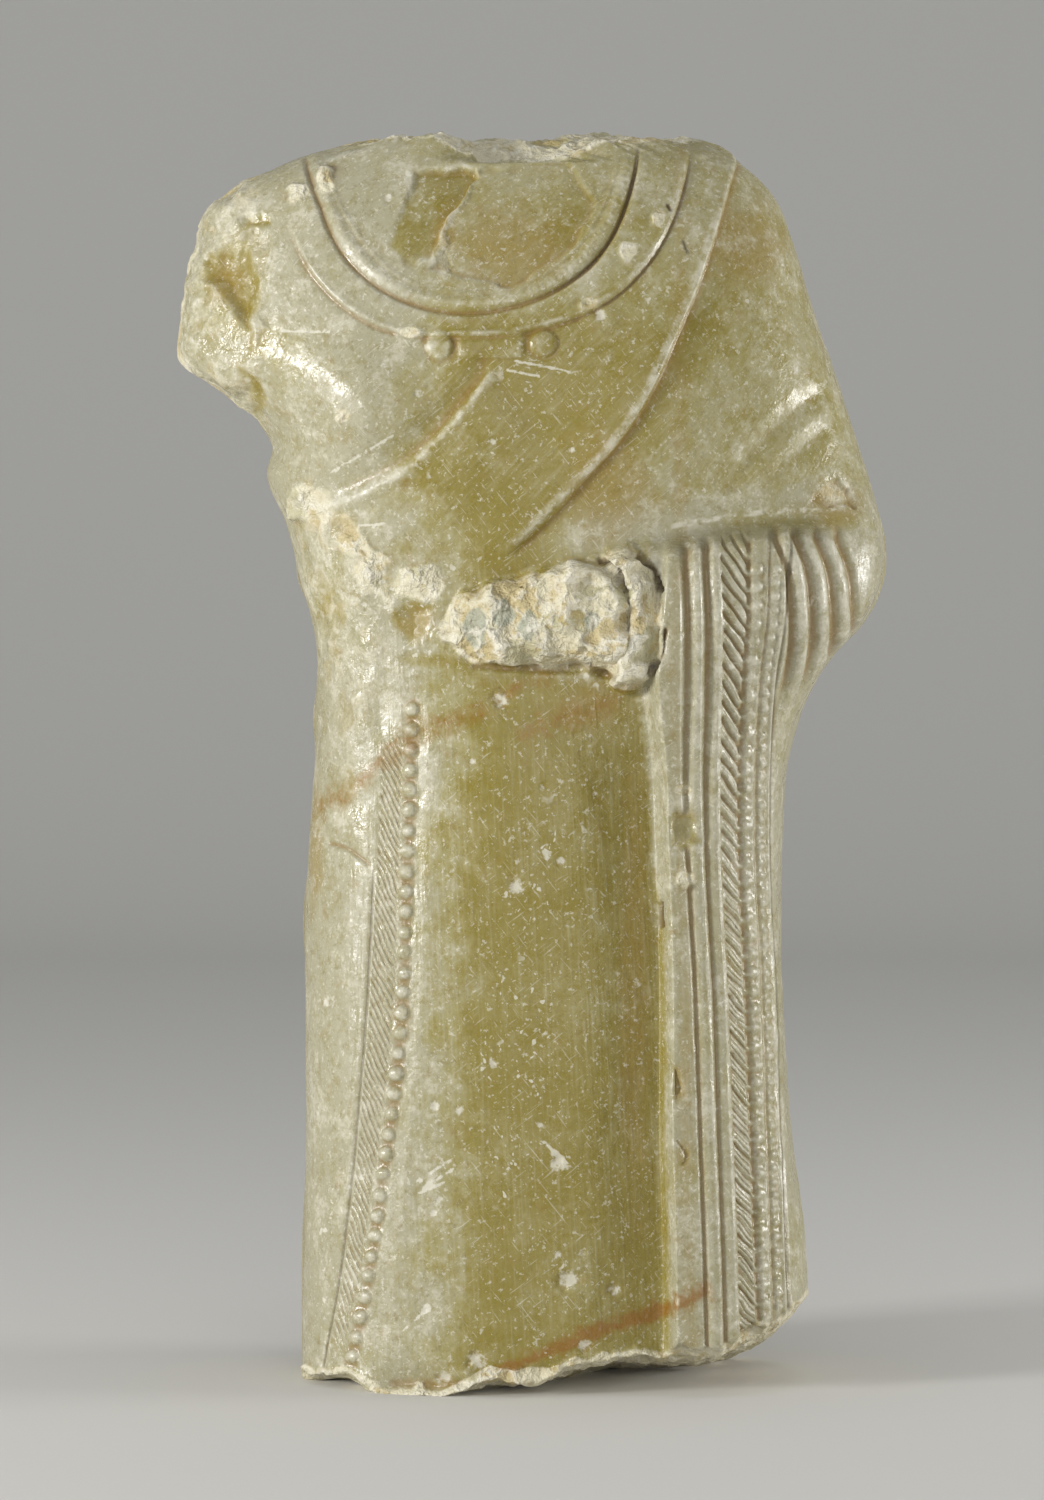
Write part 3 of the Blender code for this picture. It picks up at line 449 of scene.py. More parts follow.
def side_flap(x, z):
    """Overlap of the dress: a raised edge, a bead row and two lines beside the strip of strokes."""
    below_scar = rise(56.0 - z, 0.0, 1.5)
    lower = rise(42.0 - z, 0.0, 2.0)
    raised = -0.09 * rise(flap_edge(z) - x, -0.2, 0.5) * rise(x - flap_line(z), -0.6, 0.3)
    cut = 0.10 * hump((x - flap_line(z)) / 0.18) + 0.05 * hump((x - flap_line(z) + 0.75) / 0.25)
    dots = beads(x, z, flap_row, FLAP_BEAD_PITCH, 0.56, 3.2, 55.0, 71)
    around = 0.14 * hump((x - flap_row(z)) / 0.95)
    return (raised + 0.72 * dots - around) * below_scar - cut * lower


def body_swell(x, z):
    """Roundness under the cloth: the bare breast, the covered one, the belly and a hollow beside the fall."""
    breast = 1.6 * hump(np.hypot(x + 14.0, z - 78.0) / 7.5)
    covered = 0.7 * hump(np.hypot(x - 9.0, z - 79.0) / 9.0)
    belly = 0.5 * hump(np.hypot((x + 1.0) / 11.0, (z - 46.0) / 13.0))
    hollow = 0.65 * hump((x - shawl_fall(z) + 0.2) / 6.5) * rise(56.0 - z, 0.0, 8.0)
    return breast + covered + belly - hollow


# The neck ornament. It lies round the broken neck in two bands, the inner one ribbed like a cord, with a flat
# plate and two drops below. It stands up less than a millimetre from the chest, in the same stone. Each edge
# is a radius against the angle from straight down.

inner_edge = through((-75, 11.5), (-50, 11.8), (-25, 12.5), (0, 12.5), (35, 12.4), (58, 12.0), (87, 11.8))
middle_edge = through((-64, 13.1), (-44, 13.9), (-15, 14.2), (14, 14.1), (47, 14.0), (72, 13.4), (87, 13.3))
outer_edge = through((-60, 16.2), (-48, 16.7), (-25, 16.9), (0, 16.0), (20, 16.4), (39, 17.1), (87, 17.4))
LEFT_DROP, RIGHT_DROP = (-7.3, 83.1), (0.9, 83.3)


def necklace(x, z):
    """Two bands between three edges, a plate, two drops and two lumps; with the distances past two edges."""
    across, down = x + 4.9, 99.8 - z
    turn = np.degrees(np.arctan2(across, down))
    far = np.hypot(across, down)
    inner, middle, outer = inner_edge(turn), middle_edge(turn), outer_edge(turn)
    cord = 0.5 * (inner + middle)
    torus = 0.26 * hump((far - cord) / 0.9) + 0.10 * hump((far - inner) / 0.25)
    ribs = 0.05 * np.cos(math.pi * turn / 1.15) * hump((far - cord) / 0.6) * rise(turn, 0.0, 25.0)
    band = 0.20 * rise(far, middle, middle + 0.4) * rise(outer - far, 0.0, 0.4)
    groove = (0.14 + 0.16 * rise(turn, 10.0, 45.0)) * hump((far - middle) / 0.27)
    lip = 0.10 * hump((far - outer + 0.3) / 0.35) - 0.09 * hump((far - outer - 0.1) / 0.25)
    shown = rise(96.5 - z, -3.0, 0.5) * rise(x, -20.0, -17.5)
    drops = 0.30 * dome(x, z, LEFT_DROP, (1.1, 1.15), 3.0) + 0.26 * dome(x, z, RIGHT_DROP, (1.1, 1.1), 3.0)
    sunk = sum(0.05 * hump((np.hypot(x - a, z - b) - 1.2) / 0.3) for a, b in (LEFT_DROP, RIGHT_DROP))
    lumps = 0.14 * dome(x, z, (-9.6, 84.0), (1.3, 0.7), 2.5) + 0.12 * dome(x, z, (5.4, 85.3), (1.5, 1.1), 2.5)
    plate = 0.16 * rise(1.0 - np.maximum(np.abs(x + 3.2) / 2.7, np.abs(z - 83.2) / 1.1), 0.0, 0.15)
    shape = (torus + ribs + band - groove + lip) * shown + drops + lumps + plate - sunk
    return shape, far - middle, far - outer, shown * rise(turn, 12.0, 48.0)


# Losses. Stone has burst off the neck, the shoulder, the arm's place on the side, the hands and the lower
# edge in shell-like flakes with sharp rims, and the polished skin is nicked and scratched. A flake is an
# outline, its depth and its rim's width. A crust is a place and its two reaches, a nick a place and a reach.

ARM_SCAR_UPPER = [(-11.5, 55.0), (-10.9, 60.0), (-11.0, 65.5), (-12.5, 68.5), (-16.0, 71.0), (-20.5, 71.5),
                  (-19.0, 55.0)]
ARM_SCAR_LOWER = [(-15.8, 43.4), (-13.0, 42.2), (-12.2, 50.0), (-11.7, 57.0), (-16.3, 57.5), (-16.2, 45.0)]
FLAKES = (([(-26.3, 88.2), (-23.9, 85.2), (-22.4, 83.8), (-21.3, 85.9), (-21.0, 89.0), (-21.4, 91.2),
            (-22.2, 92.0), (-25.3, 90.8)], 0.8, 1.5),
          ([(-24.2, 91.4), (-22.1, 92.1), (-20.4, 92.7), (-20.4, 93.7), (-21.8, 94.0),
            (-23.2, 93.3)], 0.4, 1.0),
          ([(-24.2, 81.8), (-23.2, 79.2), (-21.9, 76.6), (-20.8, 75.8), (-20.9, 78.2), (-22.0, 80.6),
            (-23.3, 81.7)], 0.5, 1.2),
          ([(-11.0, 61.4), (-9.6, 59.3), (-7.9, 60.6), (-6.9, 62.8), (-8.6, 63.6), (-10.6, 63.2)], 0.36, 1.8),
          ([(-10.6, 58.4), (-8.6, 57.5), (-5.6, 57.5), (-6.8, 58.9), (-9.6, 59.9)], 0.22, 1.1),
          ([(10.5, 43.2), (12.3, 42.6), (13.8, 43.6), (14.0, 45.8), (12.8, 47.0), (11.0, 46.8),
            (10.2, 45.2)], 0.35, 0.9),
          ([(22.4, 70.9), (23.6, 70.2), (25.8, 70.4), (25.5, 72.4), (24.4, 72.9), (23.2, 72.4)], 0.30, 0.35),
          ([(10.7, 23.4), (11.6, 22.9), (12.4, 24.2), (12.0, 26.4), (10.9, 27.2), (10.5, 25.4)], 0.45, 0.8),
          ([(11.2, 17.8), (11.9, 17.6), (12.3, 19.0), (12.1, 20.8), (11.4, 20.6)], 0.25, 0.6))
THROAT_LEFT = [(-11.4, 90.8), (-9.6, 88.9), (-8.4, 89.9), (-4.2, 96.6), (-4.6, 97.4), (-9.2, 97.0)]
THROAT_RIGHT = [(-8.3, 88.9), (-1.5, 87.7), (2.7, 90.0), (5.3, 93.5), (5.2, 95.0), (1.5, 98.0), (-4.4, 97.3)]
SCAR_CRUST = [(-17.8, 70.3), (-15.2, 68.6), (-13.2, 66.2), (-11.2, 64.2), (-8.5, 64.6)]
GREY_FACETS = ((-4.6, 60.8, 1.8, 2.8), (-2.4, 62.0, 1.5, 1.9), (-0.3, 61.0, 1.5, 2.2), (4.7, 61.4, 1.1, 1.4),
               (12.15, 44.8, 1.6, 2.0))
CRUSTS = ((-18.2, 95.2, 2.6, 1.9), (-16.4, 96.2, 1.6, 2.8), (12.2, 41.2, 1.9, 1.8), (12.0, 48.0, 1.5, 0.9),
          (4.3, 86.3, 1.8, 1.2), (7.6, 90.4, 1.5, 1.8), (9.8, 93.0, 1.2, 1.3), (-15.0, 77.5, 1.3, 1.6),
          (-9.8, 65.2, 2.4, 1.2), (-9.6, 84.2, 1.6, 0.8), (11.4, 7.6, 0.9, 1.3))
NICKS = ((-2.5, 55.1, 1.2), (-1.2, 40.5, 1.1), (2.9, 9.4, 1.4), (3.9, 11.4, 0.6), (2.1, 11.3, 0.6),
         (6.5, 8.5, 0.9), (-8.3, 7.1, 0.7), (-7.8, 14.6, 0.55), (-7.3, 15.7, 0.5), (-5.7, 22.7, 0.6),
         (-7.7, 23.1, 0.7), (0.6, 21.6, 0.5), (1.9, 18.6, 1.1), (-3.1, 26.4, 0.7), (1.0, 28.8, 0.5),
         (2.3, 42.4, 0.7), (0.8, 48.2, 0.6), (5.0, 47.7, 0.5), (-4.7, 50.3, 0.5), (-16.1, 31.3, 0.9),
         (-3.0, 75.6, 0.55), (3.1, 74.9, 0.55), (7.0, 81.1, 0.5), (-9.0, 79.4, 0.6), (-4.4, 3.0, 1.3),
         (-3.2, 2.0, 0.8), (4.2, 4.2, 1.0), (-7.0, 1.6, 1.0), (5.3, 85.5, 0.9), (-11.4, 94.9, 0.6))
SCRATCHES = (((-9.1, 17.1), (-6.4, 18.8)), ((-8.6, 16.6), (-6.2, 18.1)), ((-8.9, 16.2), (-7.0, 17.0)),
             ((0.9, 20.2), (3.2, 18.1)), ((-10.2, 5.3), (-8.0, 7.3)),
             ((-1.3, 81.9), (4.1, 80.9)), ((-2.0, 81.2), (0.6, 80.7)), ((-13.6, 68.9), (-11.6, 69.1)),
             ((-16.0, 73.0), (-11.0, 76.0)), ((-20.0, 84.3), (-16.0, 84.2)))


def spots(x, z, ellipses):
    """Largest of soft elliptical spots: a hump of the distance over each one's reach across and up."""
    return np.maximum.reduce([hump(np.hypot((x - a) / across, (z - b) / up))
                              for a, b, across, up in ellipses])


def arm_scar(x, z, wavy):
    """Depth inside the ragged outline where the right forearm lay against the side."""
    u, v = x + 0.7 * wavy, z + 0.8 * wavy
    return np.maximum(inside(u, v, ARM_SCAR_UPPER), inside(u, v, ARM_SCAR_LOWER))


def battered(x, z, wavy, torn):
    """How broken the skin is, 0 to 1: hands and wrist, the arm's scar, the shoulder and the crusts."""
    hands = np.maximum(rise(inside(x, z, HAND), -0.3, 0.5), rise(1.8 - towards_line(x, z, WRIST), 0.0, 0.6))
    scar = rise(arm_scar(x, z, wavy), 0.0, 2.5)
    shoulder = rise(-x + 0.8 * wavy, 20.6, 21.8) * rise(z, 75.0, 78.0)
    crust = np.maximum(spots(x, z, CRUSTS), 0.9 * hump(towards_line(x, z, SCAR_CRUST) / 3.4))
    low_edge = 0.9 * rise(1.3 + 0.5 * wavy + 0.6 * torn - z + lower_edge(x), 0.0, 0.8)
    crust = rise(np.maximum(crust, low_edge) + 0.35 * wavy + 0.3 * torn, 0.35, 0.85)
    return hands * rise(forearm_line(x) - z, 0.2, 1.6), scar, shoulder, crust


def shell_facets(places, torn):
    """Height of shell facets: bent bowls of two sizes with sharp rims between them, about 0 in the mean."""
    bent = places + np.stack([0.7 * torn, 0.0 * torn, 0.6 * grain(places, 1.4, 49)], axis=-1)
    return scallops(bent * [1.0, 0.6, 0.9], 2.5, 41) - 0.36 + 0.45 * (scallops(bent, 1.15, 48) - 0.36)


def losses(x, z, wavy, torn, places, facets):
    """Depth of lost stone and where it flaked: flakes, bowls, crusts, crevices, nicks and scratches."""
    u, v = x + 0.6 * wavy + 0.35 * torn, z + 0.5 * wavy - 0.35 * torn
    left = inside(x + 0.35 * torn, z - 0.25 * torn, THROAT_LEFT)
    tilted = 0.04 + 0.12 * np.clip(u + 11.5, 0.0, 5.5) * rise(z, 88.0, 91.0)
    lost = rise(left, 0.0, 0.4) * tilted
    lost += 0.22 * rise(inside(u, v, THROAT_RIGHT), 0.0, 0.35)
    flaked = 0.8 * rise(left, 0.0, 0.5)
    for outline, deep, edge in FLAKES:
        within = inside(u, v, outline)
        lost += deep * rise(within, 0.0, edge)
        flaked = np.maximum(flaked, rise(within, 0.1, 0.7))
    hands, scar, shoulder, crust = battered(x, z, wavy, torn)
    bowls = scallops(places, 4.2, 42) - 0.4
    rough = 0.6 * grain(places, 2.3, 43) + 0.35 * torn + 0.2 * grain(places, 0.5, 44)
    lost -= hands * (1.0 * facets + 0.25 * rough)
    lost -= (1.0 - flaked) * (scar * (0.25 * facets + 0.15 * rough) + shoulder * (0.6 * bowls + 0.5 * facets))
    lost -= crust * (0.20 + 0.65 * facets + 0.25 * rough)
    low_chips = rise(3.4 - z, 0.0, 2.6) * rise(x, -13.0, -11.0)
    lost += 0.9 * low_chips * (0.9 - scallops(places, 2.2, 45))
    for line, wide, deep, _ in CREVICES:
        lost += deep * hump((towards_line(x, z, line) + 0.12 * torn) / wide)
    ragged = grain(places, 0.5, 46)
    lost += 0.2 * hump(towards_line(x, z, [(-15.9, 43.8), (-14.4, 43.3), (-13.0, 42.2)]) / 0.3)
    for nick_x, nick_z, reach in NICKS:
        far = np.hypot(x - nick_x, z - nick_z) / reach
        lost += 0.14 * reach * rise(0.75 - far + 0.45 * ragged, 0.0, 0.6)
    for line in SCRATCHES:
        lost += 0.04 * hump(towards_line(x + 0.12 * ragged, z, line) / 0.2) * rise(ragged, -0.5, 0.1)
    return lost, flaked


# The statue itself. The base surface, the large forms raised towards the eye and the fine carving along the
# normals make one closed skin, which is then thinned where it is smooth. The stone is one piece.

COLUMNS, SIDE_ROWS, CAP_ROWS, FACES_KEPT = 520, 660, 50, 194000


def large_forms(x, z, wavy, torn):
    """Raising of the large forms on the drawing: the shawl's mass, the hands, the body and the arm's scar."""
    fall = rise(x - shawl_fall(z), -0.15, 1.2)
    over_hand = rise(z, 61.0, 66.0) * rise(x, -1.0, 6.0)
    raised = np.maximum(forearm(x, z) * np.maximum(fall, over_hand * 0.6), hand(x, z, wavy, torn))
    return raised + body_swell(x, z) + 0.35 * rise(arm_scar(x, z, wavy), 0.0, 2.5)


def blurred(field, reach):
    """Mean over a square window of the grid, closed round the rings: a box blur along each direction."""
    for axis in (0, 1):
        pad = [(0, 0), (0, 0)]
        pad[axis] = (reach, reach)
        wide = np.pad(field, pad, mode="wrap" if axis == 1 else "edge")
        total = np.cumsum(wide, axis=axis)
        total = np.concatenate([np.zeros_like(np.take(total, [0], axis=axis)), total], axis=axis)
        count = field.shape[axis]
        upper = np.take(total, np.arange(count) + 2 * reach + 1, axis=axis)
        field = (upper - np.take(total, np.arange(count), axis=axis)) / (2 * reach + 1)
    return field


def carve():
    """The carved skin as a closed grid of points in units, with a value at each for every kind of stone."""
    grid = block(COLUMNS, SIDE_ROWS, CAP_ROWS)
    x, z = drawn(grid)
    facing = -normals(grid)[..., 1]
    level = np.arange(len(grid))[:, None]
    edge_rows = 6.0 * SIDE_ROWS / 800.0
    on_side = rise(level, CAP_ROWS, CAP_ROWS + edge_rows)
    on_side = on_side * rise(len(grid) - 1 - level, CAP_ROWS, CAP_ROWS + edge_rows)
    front = rise(facing, 0.02, 0.34) * on_side
    behind = rise(-facing, 0.02, 0.40) * on_side
    wavy, torn = grain(grid, 2.6, 11), grain(grid, 1.1, 47)
    eye = np.array([EYE_X, -EYE_DISTANCE * math.cos(EYE_TILT), EYE_Z + EYE_DISTANCE * math.sin(EYE_TILT)])
    sight = eye - grid
    sight /= np.linalg.norm(sight, axis=-1, keepdims=True)
    shaped = grid + sight * (large_forms(x, z, wavy, torn) * front)[..., None]
    on_fall = rise(x - shawl_fall(z), 0.8, 1.6)
    wobble = grain(grid, 1.5, 14)
    ornament, cord_place, outer_place, deep_cut = necklace(x, z)
    count, strip = stroke_marks(x, z, wobble)
    facets = shell_facets(grid, torn)
    lost, flaked = losses(x, z, wavy, torn, grid, facets)
    border, pits = shawl_border(x, z, wobble)
    fine = (border * on_fall - 0.10 * strip * hump((count - np.round(count)) / 0.42)) * (1.0 - 0.9 * flaked)
    folds, fold_place = shawl_folds(x, z)
    fine += side_flap(x, z) + ornament + folds + elbow_pleats(x, z) - lost
    rear = back_folds(grid[..., 0], grid[..., 2])
    skin = 0.05 * grain(grid, 3.0, 15) + 0.03 * grain(grid, 1.3, 12) + 0.012 * grain(grid, 0.5, 13)
    hands, scar, shoulder, crust = battered(x, z, wavy, torn)
    stump = shoulder * (1.0 - front) * on_side
    stump_relief = 0.6 * (scallops(grid, 4.2, 42) - 0.4) + 0.5 * facets
    height = fine * front + rear * behind + skin * on_side + stump * stump_relief
    points = shaped + normals(shaped) * height[..., None]

    window = max(2, SIDE_ROWS // 160)
    hollow = blurred(height, window) - height
    ends = 1.0 - on_side * np.ones_like(x)
    intact = 1.0 - 0.75 * np.maximum.reduce([hands, shoulder, flaked, crust])
    # How dark each crevice is laid: painted shade round and under the hands, dark lines elsewhere.
    dark = np.maximum.reduce([shade * hump(towards_line(x, z, line) / wide)
                              for line, wide, _, shade in CREVICES])
    nicked = sum(hump(np.hypot(x - a, z - b) / (1.3 * r)) for a, b, r in NICKS)
    scored = sum(hump(towards_line(x, z, line) / 0.28) for line in SCRATCHES)
    broken = np.maximum.reduce([hands, 0.4 * scar, 0.35 * shoulder, crust]) * (1.0 - 0.8 * flaked)
    broken = np.maximum(broken, 0.95 * spots(x, z, PALE_CHIPS))
    fold_part = rise(z, 67.0, 71.0) * rise(84.0 - z + 10.0 * (x > 0.0), 0.0, 2.0)
    from_ledge = forearm_line(x) - z
    ledge_part = rise(x, 7.0, 13.0) * rise(23.8 - x, 0.0, 2.0)
    beside_fall = 0.5 * hump((x - shawl_fall(z) - 2.0) / 1.4)
    marks = {
        "stroke_count": count,
        "stroke_strip": strip * front,
        "cord_place": cord_place,
        "outer_place": outer_place,
        "deep_cut": deep_cut * front,
        "fold_place": fold_place,
        # Crests of the long fold and the slanting edge, painted pale: partly wear, partly painted highlight.
        "fold_wear_and_highlight": fold_part * (np.abs(fold_place) < 1.5) * front,
        # Where the ledge's painted highlight and the painted shade under it lie.
        "ledge_place": from_ledge,
        "ledge_shown": ledge_part * (np.abs(from_ledge) < 4.0) * front,
        "hem_place": (x - hem(z)) / hem_spread(z),
        "hem_shown": on_fall * rise(from_ledge, 1.2, 3.2) * front,
        "flap_place": x - flap_line(z),
        "flap_shown": rise(42.0 - z, 0.0, 2.0) * front,
        # Hollows and the border's pits, laid ochre: partly dirt, partly painted shade.
        "groove_dirt_and_shade": np.maximum(rise(hollow, 0.02, 0.16) * intact, 0.9 * pits * on_fall) * on_side,
        "rubbed_edge": rise(-hollow, 0.02, 0.13) * intact * on_side,
        # Crevice darkening: painted shade round and under the hands, dark lines elsewhere.
        "dark_line": np.clip(dark, 0.0, 1.0) * front,
        "broken_skin": np.clip(broken * front + 0.7 * stump + ends, 0.0, 1.0),
        "bruise": np.clip(0.62 * nicked + 0.75 * scored, 0.0, 1.0) * front,
        "facet_rim": rise(facets, 0.02, 0.34) * on_side,
        "grey_facet": spots(x + 0.3 * torn, z - 0.3 * torn, GREY_FACETS) * front,
        "fleck_zone": spots(x, z, FLECKED) * front,
        "iron_vein": np.clip(vein_strength(x, z, wavy), 0.0, 1.0) * front,
        "ochre_tint": np.maximum(spots(x, z, OCHRE_TINTS), beside_fall) * front,
        "milkiness": milkiness(x, z, wavy, flaked) * front + 0.6 * (1.0 - front),
    }
    return points, marks


def stroke_marks(x, z, wobble):
    """The strokes of both borders as one running count and one strip mask."""
    on_flap, on_shawl = flap_strokes(x, z, wobble), shawl_strokes(x, z, wobble)
    return np.where(x < 0.0, on_flap[0], on_shawl[0]), np.where(x < 0.0, on_flap[1], on_shawl[1])


def vein_strength(x, z, wavy):
    """Iron veins: an upper band across the waist and a lower one near the foot, each along a drawn line."""
    upper = [(-17.5, 46.4), (-15.5, 47.1), (-12.2, 50.1), (-8.8, 52.4), (-4.6, 54.1), (-0.8, 56.2),
             (0.8, 57.0)]
    patches = [(-0.6, 52.8), (2.1, 53.4), (4.6, 54.3), (6.6, 55.0)]
    lower = [(-2.6, 2.0), (5.4, 5.5), (9.8, 6.7), (12.5, 7.7), (13.8, 8.5)]
    strong = 0.5 * hump((towards_line(x, z, upper) + 0.5 * wavy) / 1.6)
    strong += 0.55 * hump(towards_line(x, z, patches) / 1.7)
    return strong + 0.85 * hump((towards_line(x, z, lower) + 0.3 * wavy) / 1.2)


FLECKED = ((-1.0, 28.0, 6.0, 22.0), (-14.8, 77.8, 4.5, 6.0), (-15.0, 10.0, 3.5, 14.0),
           (-10.0, 62.0, 6.0, 8.0))
CLEAR = ((-4.0, 84.0, 7.0, 3.0), (-16.0, 63.0, 4.0, 7.0), (-20.0, 83.0, 5.0, 4.0), (3.0, 93.0, 6.0, 4.0),
         (-24.5, 86.0, 4.5, 9.0), (-9.0, 74.0, 4.0, 4.0))
PALE_CHIPS = ((24.1, 71.5, 2.4, 2.2), (-6.9, 90.0, 1.2, 2.4))
OCHRE_TINTS = ((8.0, 32.0, 2.0, 30.0), (-1.5, 91.0, 7.5, 5.5), (-6.9, 91.8, 1.8, 4.5), (4.5, 54.5, 5.0, 3.0),
               (-17.6, 44.0, 2.0, 10.0), (17.0, 91.0, 5.0, 6.0), (6.0, 72.0, 6.0, 8.0),
               (24.0, 70.5, 4.0, 3.0), (11.8, 25.0, 1.2, 2.5), (11.9, 19.2, 1.0, 2.2),
               (-24.5, 88.0, 2.5, 3.5), (6.0, 58.5, 2.5, 2.5), (-9.2, 61.2, 2.4, 2.6))


def milkiness(x, z, wavy, flaked):
    """Where a milky veil lies over the clear stone: the viewer's left, the neck, the shawl and its fall."""
    chest = rise(z, 64.0, 70.0) * rise(86.0 - z, 0.0, 6.0)
    left = 0.95 * rise(-x - 2.5 * chest + 0.8 * wavy, 1.5, 12.0)
    high = rise(z, 36.0, 44.0)
    fall = (0.85 + 0.15 * high) * rise(x - shawl_fall(z) + 0.8 * high, 0.1, 0.8) * rise(70.0 - z, 0.0, 2.0)
    neck = 0.5 * rise(z, 82.0, 90.0)
    shawl = 0.5 * rise(x - long_fold(z), 0.5, 6.0) * rise(z, 66.0, 70.0)
    haze = 0.9 * hump((z - forearm_line(x) - 0.8) / 3.5) * rise(x, -1.0, 5.0)
    veil = np.maximum.reduce([left, fall, neck, shawl, haze]) - 0.7 * flaked - 0.4 * spots(x, z, CLEAR)
    return np.clip(veil + 0.12 * wavy, 0.0, 1.0)


def skin_mesh(name, grid, marks):
    """Mesh of a closed grid: quads between the rings, a fan at each end, and the marks as attributes."""
    rows, columns = grid.shape[:2]
    ends = np.stack([grid[0].mean(axis=0), grid[-1].mean(axis=0)])
    points = np.concatenate([grid.reshape(-1, 3), ends])
    here = np.arange(columns)
    ahead = np.roll(here, -1)
    start = (np.arange(rows - 1) * columns)[:, None]
    quads = np.stack([start + here, start + ahead, start + ahead + columns, start + here + columns], axis=-1)
    top, first, last = (rows - 1) * columns, rows * columns, rows * columns + 1
    below = np.stack([ahead, here, np.full(columns, first)], axis=-1)
    above = np.stack([top + here, top + ahead, np.full(columns, last)], axis=-1)
    corners = np.concatenate([quads.ravel(), below.ravel(), above.ravel()])
    sides = np.concatenate([np.full(quads.size // 4, 4), np.full(2 * columns, 3)])
    mesh = bpy.data.meshes.new(name)
    mesh.vertices.add(len(points))
    mesh.vertices.foreach_set("co", points.ravel())
    mesh.loops.add(len(corners))
    mesh.loops.foreach_set("vertex_index", corners)
    mesh.polygons.add(len(sides))
    mesh.polygons.foreach_set("loop_start", np.cumsum(sides) - sides)
    mesh.update(calc_edges=True)
    for mark, value in marks.items():
        column = mesh.attributes.new(mark, "FLOAT", "POINT")
        column.data.foreach_set("value", np.append(value.ravel(), [1.0, 1.0]).astype(np.float32))
    return mesh


def thinned(mesh, faces):
    """The mesh with edges collapsed where it is smoothest, down to a number of triangles."""
    holder = bpy.data.objects.new("holder", mesh)
    bpy.context.collection.objects.link(holder)
    fewer = holder.modifiers.new("fewer_faces", "DECIMATE")
    fewer.ratio = min(1.0, faces / (2.0 * len(mesh.polygons)))
    made = bpy.data.meshes.new_from_object(holder.evaluated_get(bpy.context.evaluated_depsgraph_get()))
    bpy.data.objects.remove(holder)
    return made


points, marks = carve()
node_low, node_high = (np.array(corner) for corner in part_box("alabaster_statue"))
middle = 0.5 * (points.min(axis=(0, 1)) + points.max(axis=(0, 1)))
placed = (points - [middle[0], middle[1], 0.0]) * UNIT + [*(0.5 * (node_low + node_high))[:2], 0.0]
placed[..., 2] = np.maximum(placed[..., 2], 0.0)
statue_mesh = thinned(skin_mesh("alabaster_skin", placed, marks), FACES_KEPT)
statue_mesh.name = "carved_alabaster"
statue_mesh.shade_smooth()
statue = bpy.data.objects.new("carved_alabaster", statue_mesh)
bpy.context.collection.objects.link(statue)
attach(statue, "root")
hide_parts("alabaster_statue")


# The stone: calcite alabaster, honey and olive, polished and then worn. Its clear depth and its milky veil
# are given by colour, because light inside it would hardly show. Grooves and hollows hold ochre, partly dirt
# and partly painted shade; crevices and the channel under the forearm's ledge carry painted shade, and the
# ledge's rim and the fold crests a painted highlight mixed with wear. Rubbed edges and bruises are milky, and
# fresh breaks are chalky and rough.

MILKY, HONEY, OLIVE, WORN, SEEN_DEEP = "a8a387", "9e945f", "8b7d35", "cdc8b2", "928656"
# The bruise colour is pale bruising, and also the painted highlight on the ledge's rim and the fold crests.
CHALK, BRUISE_AND_HIGHLIGHT, SHARP_RIM, CLEAR_FACET, GREY = "ddd5b8", "e0dccb", "e9e4d2", "9c9668", "a2a593"
OCHRE, OCHRE_FILM, STAIN, IRON, IRON_FILM = "8a6c36", "96803f", "ae9440", "8e5a1c", "8d6c22"
PIT, LEDGE_SHADE, CREVICE = "7c7040", "706742", "3a2a16"


def linear(code):
    """Linear colour of an sRGB hex code: c / 12.92 below 0.04045, else ((c + 0.055) / 1.055)^2.4."""
    shares = [int(code[i:i + 2], 16) / 255.0 for i in (0, 2, 4)]
    return [*(c / 12.92 if c < 0.04045 else ((c + 0.055) / 1.055) ** 2.4 for c in shares), 1.0]


def node(tree, kind, settings=None, **sockets):
    """Adds a node; sockets given by name take a value, or a link where the value is another node's output."""
    made = tree.nodes.new(kind)
    for key, value in (settings or {}).items():
        setattr(made, key, value)
    for key, value in sockets.items():
        socket = made.inputs[int(key[1:])] if key[0] == "_" else made.inputs[key.replace("_", " ")]
        if isinstance(value, bpy.types.NodeSocket):
            tree.links.new(value, socket)
        else:
            socket.default_value = value
    return made


